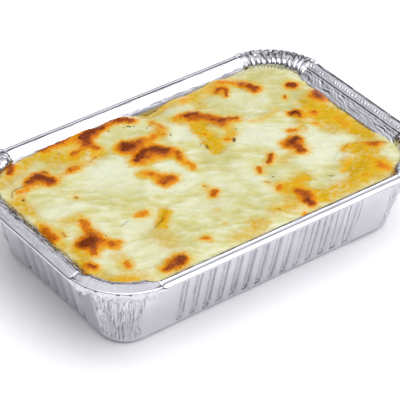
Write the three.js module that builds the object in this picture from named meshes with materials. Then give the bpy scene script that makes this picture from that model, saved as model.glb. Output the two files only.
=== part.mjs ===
// An oblong foil tray filled with a cheese-topped bake.
// Millimetres, +Z up. The origin is at the middle of the flat base.
// X runs along the tray, Y across it.

import * as THREE from "three";

// ---- Tray, overall ----
const LENGTH = 220; // over the rim
const WIDTH = 145;
const RIM_RADIUS = 35.5; // outer corner of the rim, in plan
const BASE_LENGTH = 182;
const BASE_WIDTH = 107;
const BASE_RADIUS = 14;
const SHEET = 0.5; // stands in for foil of 0.1 mm
const SHEET_PLAN = 0.54; // the same, measured level through the leaning wall
const BASE_EDGE = 1.3; // rounding where wall and base meet

// ---- Tray wall ----
const LEAN_END = 0.26; // outward run of an end wall for each mm of rise
const LEAN_SIDE = 0.24; // the same for a long wall
const BEND_Z = 30; // the end walls stand upright from here
const WALL_TOP = 38;
const WALL_TOP_RADIUS = 22;
const GATHER = 1.5; // how far the gathered foil stands out at the top of a corner
const FLUTE_LOW = 4.5;
const FLUTE_HIGH = 33;
const FLUTE_DEPTH = 1.3;
const FLUTE_PITCH = 8.33;
const FLUTES_LONG = 14;
const FLUTES_SHORT = 7;
const FLUTE_HALF = 2.5; // half width at the mouth
const FLUTE_FLOOR = 1.0; // half width at the bottom
const CORNER_STEPS = 22; // pleats are every second step round a corner

// ---- Rim section: [in from the outline, height] on a long side, an end and a corner ----
// The sides end in a rolled bead. At the corners the flange stands higher and ends in a skirt.
const RIM = {
  underShoulder: [[7.4, 44.7], [10.2, 44.8], [8.2, 44.5]],
  underCrest: [[5.2, 46.0], [7.0, 46.4], [7.0, 46.2]],
  underFlange: [[2.4, 45.2], [2.4, 45.0], [1.5, 46.0]],
  beadLowInner: [[2.4, 43.6], [2.4, 43.6], [1.1, 41.7]],
  beadLowOuter: [[0.3, 43.7], [0.3, 43.7], [0.4, 41.6]],
  beadHighOuter: [[0.0, 45.4], [0.0, 45.3], [0.0, 46.4]],
  beadTop: [[1.9, 46.1], [1.9, 46.0], [1.9, 46.6]],
  crest: [[5.5, 46.6], [7.2, 46.95], [7.4, 46.8]],
  shoulder: [[8.0, 45.2], [10.6, 45.3], [10.1, 45.2]],
};
// How far every second corner step is pressed in, and dropped, at each rim ring.
const RIM_PLEAT = {
  underShoulder: [0.4, 0],
  underCrest: [0.2, 0.25],
  underFlange: [0.3, 0.25],
  beadLowInner: [0.5, 0],
  beadLowOuter: [0.5, 0],
  beadHighOuter: [0.2, 0.25],
  beadTop: [0.3, 0.25],
  crest: [0.2, 0.25],
  shoulder: [0.4, 0],
};

// ---- Food ----
const FOOD_BOTTOM = 0.85;
const FOOD_GAP_LOW = 2.25; // level gap from the wall's outside, clear of the flutes
const FOOD_GAP_HIGH = 1.4; // the same above the flutes
const FOOD_LEVEL = 42.8; // general height of the cheese
const GRID_X = 48;
const GRID_Y = 32;
// Humps and hollows of the melted top: [x, y, radius along, radius across, turn in degrees, height].
const LUMPS = [
  [-62, 12, 34, 38, 0, 0.7], // sheet that covers the left half
  [-72, 40, 10, 4, -30, 2.0],
  [-86, 39, 7, 3, 0, 1.5],
  [-30, 60, 14, 5, 0, 3.2],
  [-52, 62, 12, 5, 0, 2.6],
  [-80, 57, 8, 5, 0, 1.8],
  [-8, 59, 9, 5, -30, 2.4],
  [-17, 37, 8, 4, -15, 1.9],
  [-13, 26, 11, 4, -15, 2.2],
  [3, 38, 4, 7, 20, 2.0],
  [-3, 13, 4, 5, 0, 1.0],
  [-23, 5, 4, 8, 35, 1.0],
  [-54, 37, 5, 4, 0, 1.5],
  [-41, -25, 9, 3.5, 50, 1.0],
  [-82, -20, 8, 7, 0, 2.4],
  [-58, -57, 9, 4, 5, 2.4],
  [-93, -33, 5, 6, 0, 1.6],
  [-95, 0, 4, 8, 0, 1.2],
  [30, 33, 5, 13, 40, 3.0], // ridge over the edge of a pasta sheet
  [17, 20, 5, 9, 0, 1.4],
  [51, 50, 5, 5, 0, 1.3],
  [66, 43, 5, 5, 0, 2.0],
  [57, 57, 11, 3, -45, 1.6],
  [87, 18, 6, 8, 0, 2.6],
  [71, 7, 4, 9, -20, 2.2],
  [53, -12, 5, 6, 0, 2.0],
  [35, -15, 4, 4, 0, 0.9],
  [56, 17, 12, 3, -15, 1.3],
  [27, -50, 5, 11, 25, 2.0],
  [84, -40, 11, 11, 0, 3.0], // arched fold by the right end
  [70, -54, 12, 8, 0, 2.2],
  [84, 49, 12, 9, -40, 2.2], // cheese drawn up the pleated corner
  [13, 59, 9, 6, 0, -3.2], // gap beside the far wall
  [98, -2, 5, 18, 0, -2.6], // sunk along the right wall
  [-30, -20, 30, 22, 20, -0.7],
  [48, 30, 9, 7, 0, -1.0],
  [58, -32, 10, 8, 0, -1.0],
];

const DEG = Math.PI / 180;

function smooth(t) {
  const c = Math.min(1, Math.max(0, t));
  return c * c * (3 - 2 * c);
}

function mix(a, b, t) {
  return a + (b - a) * t;
}

// A station is one place on the way round the tray, counter-clockwise from above.
// Straight: {side, at, flute}. Corner: {corner, turn, pleat, raise, end}.
function stations() {
  const list = [];
  const sides = [
    { along: [1, 0], out: [0, -1], count: FLUTES_LONG },
    { along: [0, 1], out: [1, 0], count: FLUTES_SHORT },
    { along: [-1, 0], out: [0, 1], count: FLUTES_LONG },
    { along: [0, -1], out: [-1, 0], count: FLUTES_SHORT },
  ];
  sides.forEach((side, n) => {
    for (let k = 0; k < side.count; k++) {
      const middle = (k - (side.count - 1) / 2) * FLUTE_PITCH;
      const marks = [-FLUTE_HALF, -FLUTE_FLOOR, FLUTE_FLOOR, FLUTE_HALF];
      for (const m of marks) {
        const deep = Math.abs(m) === FLUTE_FLOOR ? 1 : 0;
        list.push({ side, at: middle + m, flute: deep, end: n % 2 });
      }
    }
    for (let i = 0; i <= CORNER_STEPS; i++) {
      const part = i / CORNER_STEPS;
      const short = n % 2 ? 1 - part : part;
      list.push({
        corner: [n === 0 || n === 1 ? 1 : -1, n === 1 || n === 2 ? 1 : -1],
        turn: (-90 + 90 * n + 90 * part) * DEG,
        pleat: i % 2,
        raise: smooth(Math.min(i, CORNER_STEPS - i) / 2),
        end: smooth(short),
      });
    }
  });
  return list;
}

// The point of a rounded rectangle at a station, pressed in by depth.
function place(s, halfX, halfY, radius, depth, z) {
  if (s.corner) {
    const cx = s.corner[0] * (halfX - radius);
    const cy = s.corner[1] * (halfY - radius);
    const r = radius - depth;
    return [cx + r * Math.cos(s.turn), cy + r * Math.sin(s.turn), z];
  }
  const { along, out } = s.side;
  const x = along[0] * s.at + out[0] * (halfX - depth);
  const y = along[1] * s.at + out[1] * (halfY - depth);
  return [x, y, z];
}

// Outside of the wall at height z: half length, half width and corner radius.
function wall(z) {
  return [
    BASE_LENGTH / 2 + LEAN_END * Math.min(z, BEND_Z),
    BASE_WIDTH / 2 + LEAN_SIDE * z,
    mix(BASE_RADIUS, WALL_TOP_RADIUS, z / WALL_TOP),
  ];
}

function wallRing(list, z, { inset = 0, flute = 0, pleat = 0, gather = 0 }, height = z) {
  const [hx, hy, r] = wall(z);
  const bulge = gather * GATHER * smooth(z / WALL_TOP);
  return list.map((s) => {
    const pressed = FLUTE_DEPTH * flute * (s.flute ?? 0) + pleat * (s.pleat ?? 0);
    const depth = pressed - bulge * (s.raise ?? 0);
    return place(s, hx - inset, hy - inset, r - inset, depth, height);
  });
}

function rimRing(list, name) {
  const [long, end, corner] = RIM[name];
  const [press, drop] = RIM_PLEAT[name];
  return list.map((s) => {
    const side = [mix(long[0], end[0], s.end), mix(long[1], end[1], s.end)];
    const up = s.raise ?? 0;
    const inset = mix(side[0], corner[0], up);
    const z = mix(side[1], corner[1], up) - drop * up * (s.pleat ?? 0);
    const depth = press * up * (s.pleat ?? 0);
    return place(s, LENGTH / 2 - inset, WIDTH / 2 - inset, RIM_RADIUS - inset, depth, z);
  });
}

// A closed solid from rings that run counter-clockwise, listed from the outside of the bottom
// to the last ring, with a flat fan over the first and the last.
function solidFromRings(rings, firstMiddle, lastMiddle) {
  const count = rings[0].length;
  const positions = rings.flat().concat([firstMiddle, lastMiddle]);
  const first = rings.length * count;
  const index = [];
  for (let k = 0; k < rings.length - 1; k++) {
    for (let i = 0; i < count; i++) {
      const a = k * count + i;
      const b = k * count + ((i + 1) % count);
      index.push(a, b, b + count, a, b + count, a + count);
    }
  }
  for (let i = 0; i < count; i++) {
    const j = (i + 1) % count;
    index.push(first, j, i);
    index.push(first + 1, first - count + i, first - count + j);
  }
  return buffer(positions, index);
}

function buffer(positions, index) {
  const geometry = new THREE.BufferGeometry();
  const flat = new Float32Array(positions.flat());
  geometry.setAttribute("position", new THREE.BufferAttribute(flat, 3));
  geometry.setIndex(index);
  geometry.computeVertexNormals();
  return geometry;
}

function tray() {
  const list = stations();
  const rings = [
    wallRing(list, 0, { inset: BASE_EDGE }),
    wallRing(list, BASE_EDGE, { pleat: 0.15, gather: 1 }),
    wallRing(list, FLUTE_LOW, { flute: 1, pleat: 0.35, gather: 1 }),
    wallRing(list, FLUTE_HIGH, { flute: 1, pleat: 0.9, gather: 1 }),
    wallRing(list, WALL_TOP, { pleat: 0.9, gather: 1 }),
    rimRing(list, "underShoulder"),
    rimRing(list, "underCrest"),
    rimRing(list, "underFlange"),
    rimRing(list, "beadLowInner"),
    rimRing(list, "beadLowOuter"),
    rimRing(list, "beadHighOuter"),
    rimRing(list, "beadTop"),
    rimRing(list, "crest"),
    rimRing(list, "shoulder"),
    wallRing(list, WALL_TOP, { inset: SHEET_PLAN, pleat: 0.4 }),
    wallRing(list, FLUTE_HIGH, { inset: SHEET_PLAN, flute: 1, pleat: 0.4 }),
    wallRing(list, FLUTE_LOW, { inset: SHEET_PLAN, flute: 1, pleat: 0.3 }),
    wallRing(list, 0, { inset: BASE_EDGE + 0.3 }, SHEET),
  ];
  return solidFromRings(rings, [0, 0, 0], [0, 0, SHEET]);
}

// Plan point of the food's grid: square inside, rounded rectangle at the edge.
function gridPoint(u, v, halfX, halfY, radius) {
  const rho = Math.max(Math.abs(u), Math.abs(v), 1e-9);
  const sx = (u / rho) * halfX;
  const sy = (v / rho) * halfY;
  const overX = Math.max(0, Math.abs(sx) - (halfX - radius)) / radius;
  const overY = Math.max(0, Math.abs(sy) - (halfY - radius)) / radius;
  let bx = sx;
  let by = sy;
  if (overX > 0 && overY > 0) {
    const turn = overX < overY ? 90 - 45 * overX : 45 * overY;
    bx = Math.sign(sx) * (halfX - radius + radius * Math.cos(turn * DEG));
    by = Math.sign(sy) * (halfY - radius + radius * Math.sin(turn * DEG));
  }
  const pull = rho ** 5;
  return [rho * mix(sx, bx, pull), rho * mix(sy, by, pull), rho];
}

// Height of the melted top. rho is 1 at the food's edge.
function foodTop(x, y, rho) {
  let z = FOOD_LEVEL;
  z += 0.35 * Math.sin(0.11 * x + 0.07 * y) * Math.cos(0.09 * y - 0.03 * x);
  for (const [cx, cy, a, b, turn, height] of LUMPS) {
    const c = Math.cos(turn * DEG);
    const s = Math.sin(turn * DEG);
    const dx = (c * (x - cx) + s * (y - cy)) / a;
    const dy = (-s * (x - cx) + c * (y - cy)) / b;
    z += height * Math.exp(-(dx * dx + dy * dy));
  }
  const sag = smooth((rho - 0.86) / 0.14);
  return z - sag * (1.6 + 0.5 * Math.sin(0.21 * x) + 0.4 * Math.sin(0.27 * y));
}

function bake() {
  const [hx, hy, radius] = wall(WALL_TOP);
  const plan = { x: hx - FOOD_GAP_HIGH, y: hy - FOOD_GAP_HIGH, r: radius - FOOD_GAP_HIGH };
  const positions = [];
  const index = [];
  const id = (i, j) => j * (GRID_X + 1) + i;
  for (let j = 0; j <= GRID_Y; j++) {
    for (let i = 0; i <= GRID_X; i++) {
      const u = (2 * i) / GRID_X - 1;
      const v = (2 * j) / GRID_Y - 1;
      const [x, y, rho] = gridPoint(u, v, plan.x, plan.y, plan.r);
      positions.push([x, y, foodTop(x, y, rho)]);
    }
  }
  for (let j = 0; j < GRID_Y; j++) {
    for (let i = 0; i < GRID_X; i++) {
      const corners = [id(i, j), id(i + 1, j), id(i + 1, j + 1), id(i, j + 1)];
      const flip = (i < GRID_X / 2) === (j < GRID_Y / 2);
      const [a, b, c, d] = flip ? [1, 2, 3, 0].map((k) => corners[k]) : corners;
      index.push(a, b, c, a, c, d);
    }
  }
  // The way round the grid's edge, counter-clockwise from above.
  const edge = [];
  for (let i = 0; i < GRID_X; i++) edge.push([i, 0]);
  for (let j = 0; j < GRID_Y; j++) edge.push([GRID_X, j]);
  for (let i = GRID_X; i > 0; i--) edge.push([i, GRID_Y]);
  for (let j = GRID_Y; j > 0; j--) edge.push([0, j]);
  const count = edge.length;
  const levels = [
    [WALL_TOP, FOOD_GAP_HIGH],
    [FLUTE_HIGH, FOOD_GAP_LOW],
    [FOOD_BOTTOM, FOOD_GAP_LOW + 0.6],
  ];
  let above = edge.map(([i, j]) => id(i, j));
  for (const [z, gap] of levels) {
    const [wx, wy, wr] = wall(z);
    const start = positions.length;
    for (const [i, j] of edge) {
      const u = (2 * i) / GRID_X - 1;
      const v = (2 * j) / GRID_Y - 1;
      const [x, y] = gridPoint(u, v, wx - gap, wy - gap, wr - gap);
      positions.push([x, y, z]);
    }
    for (let k = 0; k < count; k++) {
      const n = (k + 1) % count;
      index.push(start + k, start + n, above[n], start + k, above[n], above[k]);
    }
    above = edge.map((_, k) => start + k);
  }
  const middle = positions.length;
  positions.push([0, 0, FOOD_BOTTOM]);
  for (let k = 0; k < count; k++) {
    index.push(middle, above[(k + 1) % count], above[k]);
  }
  return buffer(positions, index);
}

const group = new THREE.Group();

const foil = new THREE.MeshStandardMaterial({ color: 0xc9c8cf, roughness: 0.28, metalness: 1 });
const trayMesh = new THREE.Mesh(tray(), foil);
trayMesh.name = "foil_tray";
group.add(trayMesh);

const cheese = new THREE.MeshStandardMaterial({ color: 0xeadf9c, roughness: 0.42, metalness: 0 });
const bakeMesh = new THREE.Mesh(bake(), cheese);
bakeMesh.name = "cheese_bake";
group.add(bakeMesh);

export default group;
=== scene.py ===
import math

import bpy
import numpy as np
from mathutils import Matrix, Vector


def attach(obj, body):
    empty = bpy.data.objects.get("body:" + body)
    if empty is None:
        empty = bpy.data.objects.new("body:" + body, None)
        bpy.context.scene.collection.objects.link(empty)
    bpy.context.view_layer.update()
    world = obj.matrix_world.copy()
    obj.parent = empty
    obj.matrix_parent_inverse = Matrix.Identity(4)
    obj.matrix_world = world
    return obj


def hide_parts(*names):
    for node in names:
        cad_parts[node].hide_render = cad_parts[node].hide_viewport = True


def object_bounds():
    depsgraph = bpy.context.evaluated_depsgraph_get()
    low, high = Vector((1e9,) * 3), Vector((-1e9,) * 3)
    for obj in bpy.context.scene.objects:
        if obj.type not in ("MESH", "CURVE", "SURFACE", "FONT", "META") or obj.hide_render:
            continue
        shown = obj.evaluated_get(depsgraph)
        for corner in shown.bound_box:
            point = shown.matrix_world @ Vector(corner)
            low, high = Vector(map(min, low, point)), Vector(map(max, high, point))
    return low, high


# A foil tray filled with a cheese-topped bake. All lengths below are millimetres unless a name
# says otherwise. Meshes are turned to metres when they are made.

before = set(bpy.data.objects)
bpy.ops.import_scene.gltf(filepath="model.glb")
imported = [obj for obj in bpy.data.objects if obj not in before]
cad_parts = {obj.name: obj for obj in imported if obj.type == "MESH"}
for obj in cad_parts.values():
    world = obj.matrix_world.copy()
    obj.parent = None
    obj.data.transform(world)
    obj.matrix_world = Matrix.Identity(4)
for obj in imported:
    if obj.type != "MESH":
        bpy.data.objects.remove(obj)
CAD_LOW, CAD_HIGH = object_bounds()

MM = 0.001
RAD = math.pi / 180

# ---- The tray, as the CAD has it ----
LENGTH = 220.0
WIDTH = 145.0
RIM_RADIUS = 35.5
BASE_LENGTH = 182.0
BASE_WIDTH = 107.0
BASE_RADIUS = 14.0
LEAN_END = 0.26
LEAN_SIDE = 0.24
BEND_Z = 30.0
WALL_TOP = 38.0
WALL_TOP_RADIUS = 22.0
GATHER = 1.5
FLUTE_LOW = 4.5
FLUTE_HIGH = 33.0
FLUTE_DEPTH = 2.4
FLUTE_PITCH = 8.33
FLUTES_LONG = 14
FLUTES_SHORT = 7
FLUTE_HALF = 2.75
FLUTE_FLOOR = 1.55
SHEET = 0.4

# ---- Sampling of the tray's two meshes ----
PANEL_STEPS_LONG = 20
PANEL_STEPS_SHORT = 14
WALL_CORNER_STEPS = 170
FLANK_STATIONS = (3.2, 2.8, 2.65, 2.35, 1.95, 1.65, 1.5, 1.1)
RIM_STEP = 0.8
RIM_CORNER_STEPS = 130
RAISE_DEG = 7.0
BLEND_DEG = 16.0
# Half of a wall's straight part, near its top, on the long sides and on the ends.
REACH_LONG = 76.8
REACH_SHORT = 40.2

# ---- Food ----
FOOD_DIM = 0.97
FOOD_LEVEL = 42.8
FOOD_BOTTOM = 0.85
FOOD_HALF_X = 97.4
FOOD_HALF_Y = 62.0
FOOD_RADIUS = 22.0
FOOD_FRONT_RADIUS = 16.0
PLACES_Z = 43.5
LEAN_X = 0.827
LEAN_Y = 1.086
FOOD_GRID_X = 370
FOOD_GRID_Y = 236


def smooth(t):
    c = np.clip(t, 0.0, 1.0)
    return c * c * (3 - 2 * c)


def mix(a, b, t):
    return a + (b - a) * t


# ---------------------------------------------------------------- seeded noise


def hashed(ix, iy, seed):
    h = ix.astype(np.int64) * 73856093 ^ iy.astype(np.int64) * 19349663 ^ seed * 83492791
    h = (h ^ (h >> 13)) * 1274126177
    h = h ^ (h >> 16)
    return (h & 0xFFFFFF) / float(0xFFFFFF)


def corner_pull(ix, iy, dx, dy, seed):
    """A random slope at one lattice corner, as felt dx and dy away from it."""
    turn = hashed(ix, iy, seed) * 2 * np.pi
    return np.cos(turn) * dx + np.sin(turn) * dy


def noise(x, y, seed):
    """Smooth gradient noise from about -1 to 1, one cell a unit."""
    x, y = np.broadcast_arrays(np.asarray(x, float), np.asarray(y, float))
    ix, iy = np.floor(x), np.floor(y)
    fx, fy = x - ix, y - iy
    u = fx * fx * fx * (fx * (6 * fx - 15) + 10)
    v = fy * fy * fy * (fy * (6 * fy - 15) + 10)
    low = mix(corner_pull(ix, iy, fx, fy, seed), corner_pull(ix + 1, iy, fx - 1, fy, seed), u)
    high_left = corner_pull(ix, iy + 1, fx, fy - 1, seed)
    high_right = corner_pull(ix + 1, iy + 1, fx - 1, fy - 1, seed)
    return 1.6 * mix(low, mix(high_left, high_right, u), v)


def octave_mean(sample, octaves, gain):
    """The mean of sample(k) over the octaves, each weighing gain times as much as the one before."""
    total, weight, size = 0.0, 0.0, 1.0
    for k in range(octaves):
        total = total + size * sample(k)
        weight += size
        size *= gain
    return total / weight


def layered(x, y, seed, octaves=3, gain=0.5):
    """Noise in octaves. Each is turned, so that the lattice doesn't show."""
    total, weight, size = 0.0, 0.0, 1.0
    for k in range(octaves):
        total = total + size * noise(x, y, seed + 17 * k)
        x, y = 1.66 * x - 1.12 * y + 5.3, 1.12 * x + 1.66 * y - 3.7
        weight += size
        size *= gain
    return total / weight


def streaked(along, across, seed, octaves=2, gain=0.5):
    """Noise in octaves that stays drawn out along one direction."""
    return octave_mean(
        lambda k: noise(along * 2**k + 0.37 * k, across * 2**k, seed + 23 * k), octaves, gain
    )


def ridged(x, y, seed, octaves=3):
    """Sharp crests, up to 1, for creases."""
    return octave_mean(
        lambda k: 1 - np.abs(noise(x * 2**k, y * 2**k, seed + 31 * k)) * 2, octaves, 0.5
    )


# ---------------------------------------------------------------- meshes and pieces


def make_mesh(name, points, quads, extra=(), attributes=None):
    """points (n, 3) in mm; quads (m, 4); extra is a list of faces with any count."""
    mesh = bpy.data.meshes.new(name)
    faces = [tuple(q) for q in quads.tolist()] + [tuple(f) for f in extra]
    mesh.from_pydata((points * MM).tolist(), [], faces)
    for key, values in (attributes or {}).items():
        layer = mesh.attributes.new(key, "FLOAT", "POINT")
        layer.data.foreach_set("value", values.astype(np.float32).ravel())
    mesh.shade_smooth()
    mesh.validate()
    mesh.update()
    piece = bpy.data.objects.new(name, mesh)
    bpy.context.scene.collection.objects.link(piece)
    return piece


def grid_quads(rows, columns, wrap):
    """Quads of a rows by columns grid of points; wrap joins the last column to the first."""
    j = np.arange(rows - 1)[:, None]
    i = np.arange(columns if wrap else columns - 1)[None, :]
    n = (i + 1) % columns
    a = j * columns + i
    b = j * columns + n
    return np.stack([a, b, b + columns, a + columns], -1).reshape(-1, 4)


# ---------------------------------------------------------------- tray: stations and rings


def build_stations(fluted):
    """One entry for each place on the way round the tray, counter-clockwise from above. The walls
    have more of them at the flutes, and the rim has them evenly."""
    corner_steps = WALL_CORNER_STEPS if fluted else RIM_CORNER_STEPS

    def fractions(reach, flutes, panel_steps):
        if not fluted:
            return np.linspace(-1, 1, round(2 * reach / RIM_STEP) + 1)
        middles = (np.arange(flutes) - (flutes - 1) / 2) * FLUTE_PITCH
        flank = np.array(FLANK_STATIONS)
        across = np.concatenate([-flank, [0.0], flank[::-1]])
        dense = (middles[:, None] + across[None, :]).ravel()
        left = np.linspace(-reach, dense[0], panel_steps, endpoint=False)
        right = np.linspace(-dense[0], reach, panel_steps)
        return np.concatenate([left, dense, right]) / reach

    long_side = fractions(REACH_LONG, FLUTES_LONG, PANEL_STEPS_LONG)
    short_side = fractions(REACH_SHORT, FLUTES_SHORT, PANEL_STEPS_SHORT)
    sides = [
        ((1, 0), (0, -1), long_side, (1, -1)),
        ((0, 1), (1, 0), short_side, (1, 1)),
        ((-1, 0), (0, 1), long_side, (-1, 1)),
        ((0, -1), (-1, 0), short_side, (-1, -1)),
    ]
    rows = []
    for n, (along, out, parts, corner) in enumerate(sides):
        for t in parts:
            rows.append((n, 0, t, *along, *out, 0, 0, 0, 0.0, 0.0, float(n % 2)))
        for i in range(1, corner_steps):
            part = i / corner_steps
            turn = (-90 + 90 * n + 90 * part) * RAD
            deg = 90 * part
            up = float(smooth(min(deg, 90 - deg) / RAISE_DEG))
            blend = float(smooth(min(deg, 90 - deg) / BLEND_DEG))
            short = 1 - part if n % 2 else part
            end = float(smooth(short))
            direction = (math.cos(turn), math.sin(turn))
            rows.append((n, 1, 0, 0, 0, *direction, *corner, turn, up, blend, end))
    table = np.array(rows)
    names = ["side", "corner", "t", "ax", "ay", "ox", "oy", "cx", "cy", "turn", "up", "blend", "end"]
    st = {key: table[:, k] for k, key in enumerate(names)}
    st["corner"] = st["corner"] > 0.5
    st["side"] = st["side"].astype(int)
    st["deg"] = np.where(st["corner"], (st["turn"] / RAD + 90) - 90 * st["side"], 0.0)
    st["far"] = st["end"] * (st["side"] < 2)
    return st


ST = {}
COUNT = 0


def use_stations(fluted):
    """Sets the stations that all that follows is sampled at."""
    global COUNT
    ST.clear()
    ST.update(build_stations(fluted))
    COUNT = len(ST["t"])


def place(half_x, half_y, radius, z):
    """Points of a rounded rectangle at every station. The sizes may differ from station to station."""
    half_x, half_y, radius, z = [np.broadcast_to(v, COUNT) for v in (half_x, half_y, radius, z)]
    runs_x = np.abs(ST["ax"]) > 0.5
    reach = np.where(runs_x, half_x - radius, half_y - radius)
    off = np.where(runs_x, half_y, half_x)
    x = ST["ax"] * ST["t"] * reach + ST["ox"] * off
    y = ST["ay"] * ST["t"] * reach + ST["oy"] * off
    corner_x = ST["cx"] * (half_x - radius) + radius * ST["ox"]
    corner_y = ST["cy"] * (half_y - radius) + radius * ST["oy"]
    x = np.where(ST["corner"], corner_x, x)
    y = np.where(ST["corner"], corner_y, y)
    return np.stack([x, y, z], -1)


def outward_unit():
    """The level direction away from the tray's middle, at every station."""
    return np.stack([ST["ox"], ST["oy"], 0 * ST["ox"]], -1)


def wall(z):
    """Half length, half width and corner radius of the wall at height z. The ends bend upright."""
    half_x = BASE_LENGTH / 2 + LEAN_END * np.minimum(z, BEND_Z)
    half_y = BASE_WIDTH / 2 + LEAN_SIDE * z
    radius = mix(BASE_RADIUS, WALL_TOP_RADIUS, z / WALL_TOP)
    return half_x, half_y, radius


def wall_ring(z, inset=0.0, height=None):
    """The wall's outline as it is at z, moved in by inset. It lies at z, or at the given height."""
    half_x, half_y, radius = wall(z)
    points = place(half_x - inset, half_y - inset, radius - inset, z if height is None else height)
    bulge = (GATHER * smooth(z / WALL_TOP) * ST["up"])[:, None]
    return points + np.where(ST["corner"][:, None], bulge * outward_unit(), 0.0)


# Rim section, as (in from the outline, height) on a long side, on the near end, in a corner and on
# the far end.
RIM = {
    "seam": [(8.2, 43.4), (10.6, 43.2), (8.8, 43.3), (10.6, 43.2)],
    "under_shoulder": [(7.4, 44.5), (9.9, 44.3), (8.2, 44.4), (9.9, 44.3)],
    "under_crest": [(5.2, 46.0), (5.0, 46.1), (7.0, 46.1), (5.0, 46.1)],
    "under_flange": [(2.5, 45.3), (2.5, 45.0), (1.6, 46.0), (2.5, 45.0)],
    "bead_low_inner": [(2.35, 44.3), (2.35, 44.0), (2.2, 42.1), (2.35, 44.2)],
    "bead_bottom": [(1.3, 43.55), (1.3, 43.1), (1.5, 41.4), (1.3, 43.5)],
    "bead_low_outer": [(0.35, 43.95), (0.35, 43.6), (1.0, 41.6), (0.35, 43.9)],
    "bead_middle": [(0.0, 44.8), (0.0, 44.6), (0.35, 43.7), (0.0, 44.6)],
    "bead_high_outer": [(0.7, 45.6), (0.3, 45.5), (0.0, 45.9), (0.3, 45.15)],
    "bead_top": [(2.0, 46.2), (1.25, 46.0), (0.35, 46.5), (1.25, 45.6)],
    "valley": [(3.0, 46.0), (2.4, 45.95), (1.6, 46.62), (2.4, 45.85)],
    "flange_low": [(3.7, 46.15), (3.1, 46.15), (3.0, 46.7), (3.1, 46.15)],
    "flange_high": [(4.4, 46.3), (3.8, 46.3), (5.0, 46.8), (4.0, 46.5)],
    "crest": [(5.0, 46.35), (4.8, 46.45), (6.6, 46.85), (5.2, 46.75)],
    "slope": [(5.9, 46.0), (7.2, 46.0), (8.8, 46.7), (7.4, 46.3)],
    "shoulder": [(7.2, 44.8), (10.2, 44.5), (10.9, 46.1), (10.2, 44.95)],
    "lip": [(9.0, 43.2), (12.4, 42.4), (12.4, 43.9), (12.6, 43.1)],
}
# The corner at the near end of the front, where the food comes further out.
RIM_FRONT = {"slope": (7.8, 46.75), "shoulder": (9.1, 46.3), "lip": (10.3, 45.9)}
BEAD = (
    "under_flange", "bead_low_inner", "bead_bottom", "bead_low_outer", "bead_middle",
    "bead_high_outer", "bead_top",
)


def rim_ring(name):
    """One line of the rim's section, all the way round."""
    raised = ST["up"] if name in BEAD else ST["blend"]
    long, near, corner, far = [np.array(part)[:, None] for part in RIM[name]]
    front = np.array(RIM_FRONT.get(name, RIM[name][2]))[:, None]
    corner = mix(corner, front, (ST["side"] == 3) * 1.0)
    end = mix(near, far, (ST["side"] < 2) * 1.0)
    inset, z = mix(mix(long, end, ST["end"]), corner, raised)
    return place(LENGTH / 2 - inset, WIDTH / 2 - inset, RIM_RADIUS - inset, z)


def spline(p0, p1, p2, p3, u):
    """A point between p1 and p2 on the centripetal curve through all four."""

    def gap(a, b):
        return np.maximum(np.linalg.norm(b - a, axis=1) ** 0.5, 1e-4)[:, None]

    d0, d1, d2 = gap(p0, p1), gap(p1, p2), gap(p2, p3)
    t1, t2 = d0, d0 + d1
    t3 = t2 + d2
    t = t1 + u * d1
    a1 = (t1 - t) / t1 * p0 + t / t1 * p1
    a2 = (t2 - t) / d1 * p1 + (t - t1) / d1 * p2
    a3 = (t3 - t) / d2 * p2 + (t - t2) / d2 * p3
    b1 = (t2 - t) / t2 * a1 + t / t2 * a2
    b2 = (t3 - t) / (t3 - t1) * a2 + (t - t1) / (t3 - t1) * a3
    return (t2 - t) / d1 * b1 + (t - t1) / d1 * b2


# Thickness of the foil in plan, and how far in the rings lie that close the base.
INNER_PLAN = 0.42
CAP_INSET = 20


def wall_rows():
    """(points, steps to the next ring, wall, skirt, flange and inside weights) from under the base
    up the outside of the wall, and down its inside."""
    return [
        (wall_ring(0, CAP_INSET), 1, 0, 0, 0, 0),
        (wall_ring(0, 6.5), 1, 0, 0, 0, 0),
        (wall_ring(0.4, 3.4, 0.5), 2, 0, 0, 0, 0),
        (wall_ring(1.4, 0.9), 2, 0.3, 0, 0, 0),
        (wall_ring(3.0), 3, 1, 0, 0, 0),
        (wall_ring(FLUTE_LOW), 14, 1, 0, 0, 0),
        (wall_ring(FLUTE_HIGH), 4, 1, 0, 0, 0),
        (wall_ring(WALL_TOP), 4, 1, 0, 0, 0),
        (rim_ring("under_shoulder"), 1, 0.3, 0, 0.7, 0),
        (wall_ring(WALL_TOP, 2.0), 1, 0.5, 0, 0, 0.7),
        (wall_ring(FLUTE_HIGH, INNER_PLAN), 3, 1, 0, 0, 0),
        (wall_ring(FLUTE_LOW, INNER_PLAN), 1, 1, 0, 0, 0),
        (wall_ring(2.4, INNER_PLAN + 0.4), 1, 0.3, 0, 0, 0),
        (wall_ring(0, 4.5, SHEET), 1, 0, 0, 0, 0),
        (wall_ring(0, CAP_INSET, SHEET), 0, 0, 0, 0, 0),
    ]


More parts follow.
